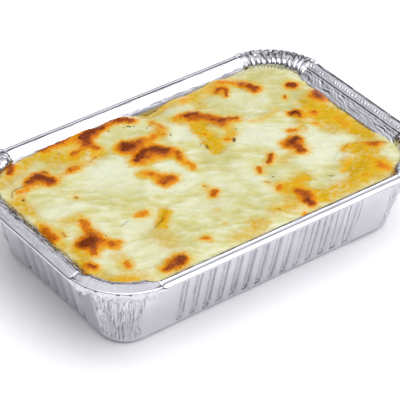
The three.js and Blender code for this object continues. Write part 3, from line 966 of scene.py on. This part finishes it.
# Dark olive specks, and painted shade along the creases under fold edges: strength, radius, line.
SPECKS_AND_CREASE_SHADE = [
    (0.5, 0.6, [(-94.4, 35.4), (-91.4, 39.4), (-88, 40), (-83, 39.4), (-80, 41)]),
    (0.60, 0.7, [(-90.4, 31.8), (-89.8, 30.6)]),
    (0.55, 0.8, [(-67.6, 17.2), (-66.8, 16.2)]),
    (0.85, 1.1, [(29.6, 11.2), (28.4, 9.2)]),
    (0.75, 0.9, [(13.8, 14.4), (13.4, 12)]),
    (0.40, 0.6, [(11.2, 16), (12.6, 17.8)]),
    (0.55, 0.9, [(76.6, 27), (76, 26)]),
    (0.55, 1.2, [(69, 12), (71.4, 11.2), (71.6, 8.6)]),
    (0.40, 0.8, [(-90.2, -4), (-90.6, -8)]),
    (0.55, 1.4, [(-54.6, -54.4), (-53, -57)]),
    (0.45, 0.8, [(9.8, -51.4), (10.2, -53)]),
    (0.45, 0.8, [(19.4, -29.6), (20, -31.4)]),
    (0.30, 0.8, [(24, -27.4)]),
    (0.40, 0.6, [(-9.4, -14), (-8, -16)]),
    (0.35, 0.7, [(-64, -17), (-58, -15.8)]),
    (0.45, 0.7, [(-50, -28), (-45, -26), (-42.4, -24)]),
    (0.40, 0.7, [(4, 32.4), (4.6, 34)]),
    (0.30, 0.7, [(52, 18.4), (53.4, 18)]),
    (0.40, 1.0, [(90.8, -37.8), (92, -40)]),
    (0.40, 0.8, [(78, -50)]),
    (0.35, 0.8, [(34.8, 48.4)]),
    (0.35, 0.7, [(-43.6, 38.4), (-38.6, 40.4)]),
    (0.35, 0.8, [(49, -44), (51, -46)]),
    (0.40, 1.0, [(-68.4, 45), (-67.6, 43.6)]),
]

SPECK_SHADE_THINNING = 0.75
THIN_SPECKS_AND_SHADE = [(strength, SPECK_SHADE_THINNING * radius, line) for strength, radius, line in SPECKS_AND_CREASE_SHADE]

# Edges of the melted layers: height of the step in mm, width of its rounding, line. The side on the
# left of the line's direction is the higher one.
STEPS = [
    (0.9, 0.9, [(-80, 41), (-76.5, 38.5), (-73, 34.5), (-69.5, 32.6)]),
    (0.8, 0.8, [(-2, -7.5), (-12, -11.2), (-20, -12.6), (-26, -9.4), (-30, -4), (-35, -0.5)]),
    (1.0, 0.8, [(-34, -17), (-39, -20.6), (-44, -25), (-50, -28), (-57, -29)]),
    (0.9, 0.8, [(-28, 23), (-22, 21.4), (-14, 19.6), (-6, 20.6)]),
    (0.9, 0.8, [(-29, 34), (-22, 32.6), (-14, 33), (-8, 34)]),
    (1.0, 0.9, [(12, 41), (17, 35), (26, 31.4), (30, 24), (38, 22.4), (44, 23)]),
    (0.8, 0.9, [(95, -43), (91.4, -38.6), (86, -34), (80, -30.6), (74, -29.2), (66, -32)]),
    (0.9, 0.9, [(54, -46.6), (62, -43), (68, -40), (76, -38)]),
    (0.7, 0.8, [(44, 21), (50, 17), (58, 17.6), (67, 20.6)]),
    (0.6, 0.7, [(46, -20), (51, -21.4), (55, -17), (58, -10)]),
    (0.7, 0.9, [(-92, -26), (-88, -29.4), (-82, -26), (-72, -30)]),
    (0.6, 0.9, [(-27, -2), (-21, -3.4), (-15, -1)]),
]
STEP_REACH = 7.0


def food_level(x, y):
    """The broad form, close to the CAD solid's."""
    z = FOOD_LEVEL + 0.35 * np.sin(0.11 * x + 0.07 * y) * np.cos(0.09 * y - 0.03 * x)
    for cx, cy, a, b, turn, height in LUMPS:
        c, s = math.cos(turn * RAD), math.sin(turn * RAD)
        dx = (c * (x - cx) + s * (y - cy)) / a
        dy = (-s * (x - cx) + c * (y - cy)) / b
        z = z + height * np.exp(-(dx * dx + dy * dy))
    return z


def spread(x, y, places, ragged, seed, cell, sharp):
    """The combined strength of a list of places, with uneven edges."""
    rest = np.ones(np.shape(x))
    for k, (strength, radius, line) in enumerate(places):
        reach = 2.6 * radius
        xs, ys = [p[0] for p in line], [p[1] for p in line]
        near = (x > min(xs) - reach) & (x < max(xs) + reach)
        near &= (y > min(ys) - reach) & (y < max(ys) + reach)
        if not near.any():
            continue
        nx, ny = x[near], y[near]
        gap, _ = distance_to_line(nx, ny, line)
        edge = gap / radius + ragged * layered(nx / cell, ny / cell, seed + k)
        rest[near] *= 1 - strength * smooth((1 + 0.5 * sharp - edge) / sharp)
    return 1 - rest


def step_field(x, y):
    """Edges of the melted layers: a quick drop on one side of each line, fading away from it."""
    total = np.zeros(np.shape(x))
    for height, width, line in STEPS:
        gap, where = distance_to_line(x, y, line)
        side = np.zeros(np.shape(x))
        best = np.full(np.shape(x), 1e9)
        for k in range(len(line) - 1):
            (ax, ay), (bx, by) = line[k], line[k + 1]
            part, _ = distance_to_line(x, y, [line[k], line[k + 1]])
            cross = (bx - ax) * (y - ay) - (by - ay) * (x - ax)
            side = np.where(part < best, np.sign(cross), side)
            best = np.minimum(best, part)
        signed = gap * side
        drop = np.tanh(signed / width)
        fade = np.exp(-((gap / STEP_REACH) ** 2)) * np.sin(np.pi * mix(0.12, 0.88, where))
        total += 0.5 * height * drop * fade
    return total


def strand_field(x, y):
    """Long soft strands of melted cheese, from -1 to 1."""
    u = 0.8 * x - 0.6 * y
    v = 0.6 * x + 0.8 * y
    v = v + 3.0 * layered(u / 16, v / 13, 121, 2)
    return streaked(u / 11, v / 3.4, 122, 3, 0.55)


EDGE_BAND = 8.0
RIB_PITCH = 2.3


def from_far_corner(x, y):
    """Offsets from the middle of the food's rounding at the far corner."""
    return x - FOOD_HALF_X + FOOD_RADIUS, y - FOOD_HALF_Y + FOOD_RADIUS


def edge_band(x, y):
    """A clearer band along the edge of the far corner."""
    dx, dy = from_far_corner(x, y)
    out = np.hypot(np.maximum(dx, 0), np.maximum(dy, 0)) - FOOD_RADIUS
    band = smooth((out + EDGE_BAND + noise(x / 4, y / 4, 351)) / 3.5)
    return band * smooth((dx + 10) / 6) * smooth((dy + 6) / 6)


def edge_comb(x, y):
    """Pale ribs in that band, where the cheese was drawn off the pleated foil."""
    dx, dy = from_far_corner(x, y)
    turn = np.arctan2(dy, dx) * FOOD_RADIUS
    wave = 2 * np.pi * (turn + 0.8 * noise(x / 3, y / 3, 350)) / RIB_PITCH
    return smooth(0.45 + 0.9 * np.sin(wave)) * edge_band(x, y)


def food_masks(x, y):
    """How brown, golden, white, clear and stringy the top is, and where its dark specks and painted
    crease shade lie, from 0 to about 1.
    """
    wx = x + 1.1 * layered(x / 3.2, y / 3.2, 201) + 0.35 * layered(x / 0.9, y / 0.9, 203, 2)
    wy = y + 1.1 * layered(x / 3.2, y / 3.2, 202) + 0.35 * layered(x / 0.9, y / 0.9, 204, 2)
    core = spread(wx, wy, BROWN, 0.35, 210, 1.6, 1.5) ** 1.35
    wide = [(0.40 * strength, 1.3 * radius + 1.4, line) for strength, radius, line in BROWN]
    halo = spread(x, y, wide, 0.4, 250, 3.0, 1.6)
    mottled = 0.78 + 0.6 * layered(x / 2.6, y / 2.2, 330, 3)
    return {
        "brown": (core**3 + halo**3) ** (1 / 3),
        "gold": spread(x, y, GOLD, 0.5, 310, 4.0, 1.5) * mottled,
        "white": np.maximum(spread(x, y, WHITE, 0.5, 410, 5.0, 1.4), edge_comb(x, y)),
        "clear": np.maximum(spread(x, y, CLEAR, 0.5, 510, 5.0, 1.5), 0.8 * edge_band(x, y)),
        # Dark specks, and painted shade along the creases under fold edges.
        "speck_and_shade": spread(x + 0.3 * (wx - x), y + 0.3 * (wy - y), THIN_SPECKS_AND_SHADE, 0.3, 610, 1.2, 1.0),
        "strand": 0.5 + 0.5 * strand_field(x, y),
    }


def food_detail(x, y, masks):
    """Curds, strands, blisters and crackle over the broad form."""
    brown = masks["brown"]
    curds = layered(x / 6.0, y / 5.0, 102, 3)
    soft = layered(x / 15, y / 12, 106, 2)
    z = 0.7 * soft + 0.4 * curds + 0.9 * (masks["strand"] - 0.5)
    z = z + 0.35 * masks["white"] - 0.3 * masks["gold"] - 0.35 * masks["speck_and_shade"]
    blister = smooth((brown - 0.2) / 0.5)
    z = z + blister * (0.35 + 0.5 * layered(x / 1.9, y / 1.9, 107, 2))
    return z + step_field(x, y) + 0.05 * layered(x / 0.9, y / 0.9, 105, 2)


def grid_plan(u, v, half_x, half_y, radius):
    """Plan points of the food's grid: square inside, a rounded rectangle at the edge."""
    rho = np.maximum(np.maximum(np.abs(u), np.abs(v)), 1e-9)
    sx, sy = u / rho * half_x, v / rho * half_y
    over_x = np.maximum(0, np.abs(sx) - (half_x - radius)) / radius
    over_y = np.maximum(0, np.abs(sy) - (half_y - radius)) / radius
    turn = np.where(over_x < over_y, 90 - 45 * over_x, 45 * over_y) * RAD
    bent = (over_x > 0) & (over_y > 0)
    bx = np.where(bent, np.sign(sx) * (half_x - radius + radius * np.cos(turn)), sx)
    by = np.where(bent, np.sign(sy) * (half_y - radius + radius * np.sin(turn)), sy)
    pull = rho**5
    return rho * mix(sx, bx, pull), rho * mix(sy, by, pull), rho


def food_surface(x, y, rho):
    """Height and masks. The places in the lists lie on the plane PLACES_Z as it is seen from the
    front left, so on higher ground they are shifted towards the front left."""
    calm = 1 - 0.9 * np.exp(-((x + 91) ** 2 + (y + 54) ** 2) / 15**2)
    sag = calm * smooth((rho - 0.90) / 0.10)
    amount = mix(0.5, 1.1, smooth((x + 95) / 20))
    broad = food_level(x, y) - sag * amount * (1 + 0.45 * np.sin(0.21 * x) + 0.35 * np.sin(0.27 * y))
    rise = broad - PLACES_Z
    px, py = x + LEAN_X * rise, y + LEAN_Y * rise
    masks = food_masks(px, py)
    roll = np.clip((rho - 0.985) / 0.015, 0, 1)
    return broad + food_detail(px, py, masks) - 1.2 * calm * roll**2, masks


# Rings down the food's side: height, and the gap left to the wall.
SIDE_RINGS = ((WALL_TOP, 0.9), (FLUTE_HIGH, 2.7), (FOOD_BOTTOM, 3.2))


def outer_ring():
    """Indices of the outermost points of the food's grid, counter-clockwise from above."""
    wide = FOOD_GRID_X + 1
    ring = list(range(FOOD_GRID_X))
    ring += [j * wide + FOOD_GRID_X for j in range(FOOD_GRID_Y)]
    ring += [FOOD_GRID_Y * wide + i for i in range(FOOD_GRID_X, 0, -1)]
    ring += [j * wide for j in range(FOOD_GRID_Y, 0, -1)]
    return np.array(ring)


def food_sides(u, v, above, start):
    """The food's side under the ring above: points, faces and the indices of its lowest ring."""
    parts, faces = [], []
    for height, gap in SIDE_RINGS:
        half_x, half_y, radius = wall(height)
        x, y, _ = grid_plan(u, v, half_x - gap, half_y - gap, radius - gap)
        parts.append(np.stack([x, y, np.full(len(u), height)], -1))
        here = start + np.arange(len(u))
        faces.append(np.stack([here, np.roll(here, -1), np.roll(above, -1), above], -1))
        above, start = here, start + len(u)
    return parts, faces, above


def build_food():
    """The food's whole surface, with the masks of its top for the material."""
    u = np.linspace(-1, 1, FOOD_GRID_X + 1)
    v = np.linspace(-1, 1, FOOD_GRID_Y + 1)
    uu, vv = np.meshgrid(u, v)
    radius = np.where((uu < 0) & (vv < 0), FOOD_FRONT_RADIUS, FOOD_RADIUS)
    x, y, rho = grid_plan(uu, vv, FOOD_HALF_X, FOOD_HALF_Y, radius)
    z, masks = food_surface(x, y, rho)
    top = np.stack([x, y, z], -1).reshape(-1, 3)
    top_faces = grid_quads(FOOD_GRID_Y + 1, FOOD_GRID_X + 1, False)
    edge = outer_ring()
    parts, faces, lowest = food_sides(uu.ravel()[edge], vv.ravel()[edge], edge, len(top))
    points = np.concatenate([top, *parts])

    def padded(values):
        """The sides take the mean of the top."""
        rest = np.full(len(points) - values.size, float(values.mean()))
        return np.concatenate([values.ravel(), rest])

    masks = {key: padded(values) for key, values in masks.items()}
    quads = np.concatenate([top_faces, *faces])
    return make_mesh("cheese_crust", points, quads, [lowest[::-1].tolist()], masks)


# ---------------------------------------------------------------- herb flecks

# Flecks: x, y, size.
FLECKS = [
    (-8.8, 52.8, 1.3), (-1.8, 46.3, 0.7), (-20.6, 54.8, 0.6), (-52.4, 54.8, 0.8),
    (-90.1, 31.4, 0.7), (-74.5, -19.8, 0.6), (29.6, 10.2, 0.8), (50, -45.1, 0.6),
    (25.7, -27.3, 0.6), (4.1, 33.1, 0.5), (37, 18.7, 0.6), (-6.2, 51.6, 0.6),
    (-11.4, 53.6, 0.6), (1.2, 47.0, 0.5),
]


def food_height(x, y):
    """The food's top at one place, in mm."""
    ax, ay = np.array([x], float), np.array([y], float)
    z, _ = food_surface(ax, ay, np.zeros(1))
    return float(z[0])


def build_flecks():
    """Small dry leaf flakes, each a thin bent lens, in one mesh."""
    rng = np.random.default_rng(9)
    points, faces = [], []
    rim = 9
    for x, y, size in FLECKS:
        z = food_height(x, y)
        turn = rng.uniform(0, 2 * np.pi)
        long, wide = size, size * rng.uniform(0.4, 0.7)
        start = len(points)
        for k in range(rim):
            a = 2 * np.pi * k / rim
            r = 1 + rng.uniform(-0.18, 0.18)
            px, py = long * r * math.cos(a), wide * r * math.sin(a)
            qx = px * math.cos(turn) - py * math.sin(turn)
            qy = px * math.sin(turn) + py * math.cos(turn)
            points.append((x + qx, y + qy, z + 0.05 + 0.10 * math.cos(2 * a)))
        points.append((x, y, z + 0.26))
        points.append((x, y, z - 0.12))
        for k in range(rim):
            n = (k + 1) % rim
            faces.append((start + k, start + n, start + rim))
            faces.append((start + n, start + k, start + rim + 1))
    return make_mesh("herb_flecks", np.array(points), np.zeros((0, 4), int), faces)


# ---------------------------------------------------------------- materials


def nodes_of(name):
    """A new material, with its node tree, its shader and the object's own coordinates."""
    material = bpy.data.materials.new(name)
    material.use_nodes = True
    tree = material.node_tree
    coords = add(tree, "ShaderNodeTexCoord").outputs["Object"]
    return material, tree, tree.nodes["Principled BSDF"], coords


def set_inputs(node, values):
    for socket, value in values.items():
        node.inputs[socket].default_value = value


def add(tree, kind, inputs=None, **settings):
    node = tree.nodes.new(kind)
    for key, value in settings.items():
        setattr(node, key, value)
    set_inputs(node, inputs or {})
    return node


def link(tree, a, b):
    tree.links.new(a, b)


def feed(tree, sockets, values):
    """Each value goes into its socket, as a link or as a fixed value."""
    for socket, value in zip(sockets, values):
        if hasattr(value, "is_output"):
            link(tree, value, socket)
        else:
            socket.default_value = value


def math_node(tree, operation, a, b, c=0.5, clamp=False):
    node = add(tree, "ShaderNodeMath", operation=operation, use_clamp=clamp)
    feed(tree, node.inputs, (a, b, c))
    return node.outputs[0]


def mix_colour(tree, factor, a, b, blend="MIX"):
    node = add(tree, "ShaderNodeMix", data_type="RGBA", blend_type=blend)
    feed(tree, (node.inputs[0], node.inputs[6], node.inputs[7]), (factor, a, b))
    return node.outputs[2]


def noise_of(tree, coords, scale, **more):
    """The grey value of a noise texture."""
    node = add(tree, "ShaderNodeTexNoise", {"Scale": scale, **more})
    link(tree, coords, node.inputs["Vector"])
    return node.outputs["Fac"]


def remap(tree, source, start, end, low, high):
    """The source from start to end, spread evenly from low to high."""
    node = add(tree, "ShaderNodeMapRange", {1: start, 2: end, 3: low, 4: high})
    link(tree, source, node.inputs[0])
    return node.outputs[0]


def bump_from(tree, shader, height, strength, distance):
    node = add(tree, "ShaderNodeBump", {"Strength": strength, "Distance": distance})
    link(tree, height, node.inputs["Height"])
    link(tree, node.outputs["Normal"], shader.inputs["Normal"])


def ramp(tree, source, stops):
    node = add(tree, "ShaderNodeValToRGB")
    elements = node.color_ramp.elements
    while len(elements) < len(stops):
        elements.new(0.5)
    for element, (at, colour) in zip(elements, stops):
        element.position = at
        element.color = colour
    link(tree, source, node.inputs[0])
    return node.outputs[0]


def srgb(r, g, b):
    """Linear RGBA from 0 to 255 display values."""
    line = [c / 255 for c in (r, g, b)]
    line = [c / 12.92 if c <= 0.04045 else ((c + 0.055) / 1.055) ** 2.4 for c in line]
    return (*line, 1.0)


# Linear colours of the foil and the floor, from the darker to the paler.
FOIL_COLOURS = [(0.3, (0.585, 0.58, 0.612, 1)), (0.7, (0.70, 0.695, 0.732, 1))]
FLOOR_COLOURS = [(0.0, (0.90, 0.90, 0.91, 1)), (1.0, (0.93, 0.93, 0.94, 1))]
# The foil is rougher below this band of heights, in metres.
ROUGH_FROM = 0.043
ROUGH_FULL = 0.038


def foil_material():
    material, tree, shader, coords = nodes_of("rolled_foil")
    shader.inputs["Metallic"].default_value = 1.0
    colour = ramp(tree, noise_of(tree, coords, 45.0, Detail=3.0), FOIL_COLOURS)
    link(tree, colour, shader.inputs["Base Color"])
    patches = noise_of(tree, coords, 160.0, Detail=2.0)
    rough = remap(tree, patches, 0.3, 0.7, 0.09, 0.17)
    split = add(tree, "ShaderNodeSeparateXYZ")
    link(tree, coords, split.inputs[0])
    low = remap(tree, split.outputs["Z"], ROUGH_FROM, ROUGH_FULL, 0.0, 0.02)
    link(tree, math_node(tree, "ADD", rough, low), shader.inputs["Roughness"])
    creases = noise_of(tree, coords, 420.0, Detail=4.0, Roughness=0.6)
    bump_from(tree, shader, creases, 0.35, 0.0002)
    return material


# Colours of the food, as display values from 0 to 255. The number before one is its place on a ramp.
CHEESE = [(0.45, (182, 174, 104)), (0.75, (193, 190, 138)), (1.05, (204, 204, 174))]
CLEAR_CHEESE = (172, 165, 100)
WHITE_CHEESE = (203, 206, 180)
GOLDEN_FAT = (188, 148, 0)
# The tone of the dark specks, also used as painted shade in the creases.
SPECK_AND_SHADE_TONE = (84, 48, 8)
TOASTED = [
    (0.05, (206, 180, 66)),
    (0.20, (204, 154, 14)),
    (0.38, (200, 124, 6)),
    (0.55, (174, 92, 4)),
    (0.75, (138, 62, 4)),
    (1.0, (106, 42, 4)),
]
HERB = [(0.35, (40, 38, 20)), (0.7, (84, 74, 34))]


def food_colour(r, g, b):
    """A colour as it looks in the photograph, dimmed for the studio's light."""
    return (*[FOOD_DIM * c for c in srgb(r, g, b)[:3]], 1.0)


def food_ramp(tree, source, stops):
    return ramp(tree, source, [(at, food_colour(*tone)) for at, tone in stops])


def cheese_colour(tree, coords, mask, level):
    """Pale cheese, with the clear, white, golden and browned places over it, then dark specks and
    painted shade in the creases.
    """
    curds = math_node(tree, "MULTIPLY", noise_of(tree, coords, 110.0, Detail=4.0), 0.5)
    colour = food_ramp(tree, math_node(tree, "ADD", mask["strand"], curds), CHEESE)
    layers = (("clear", 0.8, CLEAR_CHEESE), ("white", 0.9, WHITE_CHEESE), ("gold", 1.75, GOLDEN_FAT))
    for key, amount, tone in layers:
        weight = math_node(tree, "MULTIPLY", mask[key], amount, clamp=True)
        colour = mix_colour(tree, weight, colour, food_colour(*tone))
    cover = remap(tree, level, 0.04, 0.34, 0.0, 1.0)
    colour = mix_colour(tree, cover, colour, food_ramp(tree, level, TOASTED))
    # Dark specks, and painted shade along the creases.
    return mix_colour(tree, mask["speck_and_shade"], colour, food_colour(*SPECK_AND_SHADE_TONE))


def cheese_material():
    material, tree, shader, coords = nodes_of("melted_cheese")
    mask = {
        key: add(tree, "ShaderNodeAttribute", attribute_name=key).outputs["Fac"]
        for key in ("brown", "gold", "white", "clear", "speck_and_shade", "strand")
    }
    brown = mask["brown"]
    grain = math_node(tree, "SUBTRACT", noise_of(tree, coords, 620.0, Detail=4.0), 0.5)
    jitter = math_node(tree, "MULTIPLY", math_node(tree, "MULTIPLY", grain, 0.9), brown)
    level = math_node(tree, "ADD", brown, jitter)
    link(tree, cheese_colour(tree, coords, mask, level), shader.inputs["Base Color"])
    link(tree, remap(tree, brown, 0.0, 0.6, 0.36, 0.16), shader.inputs["Roughness"])
    set_inputs(shader, {
        "Specular IOR Level": 0.08,
        "Subsurface Weight": 0.1,
        "Subsurface Radius": (1.0, 0.7, 0.35),
        "Subsurface Scale": 0.0012,
    })
    pores = noise_of(tree, coords, 700.0, Detail=4.0)
    bubbles = add(tree, "ShaderNodeTexVoronoi", {"Scale": 900.0})
    link(tree, coords, bubbles.inputs["Vector"])
    crust = math_node(tree, "MULTIPLY", bubbles.outputs["Distance"], brown)
    fine = math_node(tree, "ADD", pores, math_node(tree, "MULTIPLY", crust, 1.6))
    bump_from(tree, shader, fine, 0.5, 0.0004)
    return material


def fleck_material():
    material, tree, shader, coords = nodes_of("dried_herb")
    stops = [(at, srgb(*tone)) for at, tone in HERB]
    link(tree, ramp(tree, noise_of(tree, coords, 900.0), stops), shader.inputs["Base Color"])
    shader.inputs["Roughness"].default_value = 0.6
    return material


def floor_material():
    material, tree, shader, coords = nodes_of("pale_floor")
    cloud = ramp(tree, noise_of(tree, coords, 3.0), FLOOR_COLOURS)
    link(tree, cloud, shader.inputs["Base Color"])
    set_inputs(shader, {"Roughness": 0.5, "Specular IOR Level": 0.3})
    return material


# ---------------------------------------------------------------- stage

AZIMUTH = -37.21 * RAD
ELEVATION = 36.34 * RAD
ROLL = 0.654 * RAD
TARGET = Vector((0.01795, 0.02473, 0.0))
DISTANCE = 1.28392
LENS = 213.9
SENSOR = 36.0
FLOOR_SIZE = 3.0
FLOOR_Z = -0.0001
# The soft key light, in metres and watts.
KEY_PLACE = (0.50, -0.90, 2.15)
KEY_SIZE = 3.0
KEY_POWER = 36.0
# The room: grey by height from floor to ceiling, times grey by how far it faces BRIGHT_SIDE.
BRIGHT_SIDE = (0.45, -0.62, 0.64)
ROOM_STRENGTH = 1.85
HEIGHT_GREYS = (
    (0.0, 0.06), (0.22, 0.10), (0.40, 0.35), (0.54, 0.73),
    (0.66, 0.80), (0.82, 0.80), (0.92, 1.02), (1.0, 1.02),
)
SIDE_GREYS = ((0.2, 0.28), (0.48, 0.45), (0.57, 0.64), (0.75, 0.80), (0.98, 1.05))


def build_camera():
    back = Vector((
        math.sin(AZIMUTH) * math.cos(ELEVATION),
        -math.cos(AZIMUTH) * math.cos(ELEVATION),
        math.sin(ELEVATION),
    ))
    right = Vector((math.cos(AZIMUTH), math.sin(AZIMUTH), 0))
    up = back.cross(right)
    c, s = math.cos(ROLL), math.sin(ROLL)
    right, up = c * right + s * up, c * up - s * right
    data = bpy.data.cameras.new("camera")
    data.lens = LENS
    data.sensor_width = SENSOR
    camera = bpy.data.objects.new("camera", data)
    columns = Matrix((right, up, back)).transposed()
    camera.matrix_world = Matrix.Translation(TARGET + back * DISTANCE) @ columns.to_4x4()
    bpy.context.scene.collection.objects.link(camera)
    bpy.context.scene.camera = camera


def add_key():
    """A square soft light that aims at the middle of the tray's base."""
    data = bpy.data.lights.new("key", "AREA")
    data.shape = "RECTANGLE"
    data.size = data.size_y = KEY_SIZE
    data.energy = KEY_POWER
    lamp = bpy.data.objects.new("key", data)
    lamp.location = KEY_PLACE
    lamp.rotation_mode = "QUATERNION"
    lamp.rotation_quaternion = (-Vector(KEY_PLACE)).to_track_quat("-Z", "Y")
    bpy.context.scene.collection.objects.link(lamp)


def add_floor():
    mesh = bpy.data.meshes.new("floor")
    h = FLOOR_SIZE / 2
    corners = [(x, y, FLOOR_Z) for x, y in ((-h, -h), (h, -h), (h, h), (-h, h))]
    mesh.from_pydata(corners, [], [(0, 1, 2, 3)])
    floor = bpy.data.objects.new("floor", mesh)
    floor.data.materials.append(floor_material())
    bpy.context.scene.collection.objects.link(floor)


def grey_ramp(tree, source, greys):
    """A ramp of greys with a trace of blue."""
    return ramp(tree, source, [(at, (value, value, value * 1.02, 1)) for at, value in greys])


def build_room():
    """The world that the foil mirrors."""
    world = bpy.data.worlds.new("studio")
    bpy.context.scene.world = world
    world.use_nodes = True
    tree = world.node_tree
    background = tree.nodes["Background"]
    coords = add(tree, "ShaderNodeTexCoord").outputs["Generated"]
    split = add(tree, "ShaderNodeSeparateXYZ")
    link(tree, coords, split.inputs[0])
    height = grey_ramp(tree, split.outputs["Z"], HEIGHT_GREYS)
    aim = add(tree, "ShaderNodeVectorMath", operation="DOT_PRODUCT")
    link(tree, coords, aim.inputs[0])
    aim.inputs[1].default_value = BRIGHT_SIDE
    facing = math_node(tree, "MULTIPLY_ADD", aim.outputs["Value"], 0.5)
    side = grey_ramp(tree, facing, SIDE_GREYS)
    lit = mix_colour(tree, 1.0, height, side, "MULTIPLY")
    link(tree, lit, background.inputs["Color"])
    background.inputs["Strength"].default_value = ROOM_STRENGTH


def build_stage():
    add_floor()
    build_room()
    add_key()
    bpy.context.scene.view_settings.view_transform = "Standard"


# ---------------------------------------------------------------- build


def main():
    build_camera()
    build_stage()

    foil = foil_material()
    for piece in build_tray():
        piece.data.materials.append(foil)
        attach(piece, "root")
        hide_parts("foil_tray")

    food = build_food()
    food.data.materials.append(cheese_material())
    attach(food, "root")
    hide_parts("cheese_bake")

    flecks = build_flecks()
    flecks.data.materials.append(fleck_material())
    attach(flecks, "root")


main()
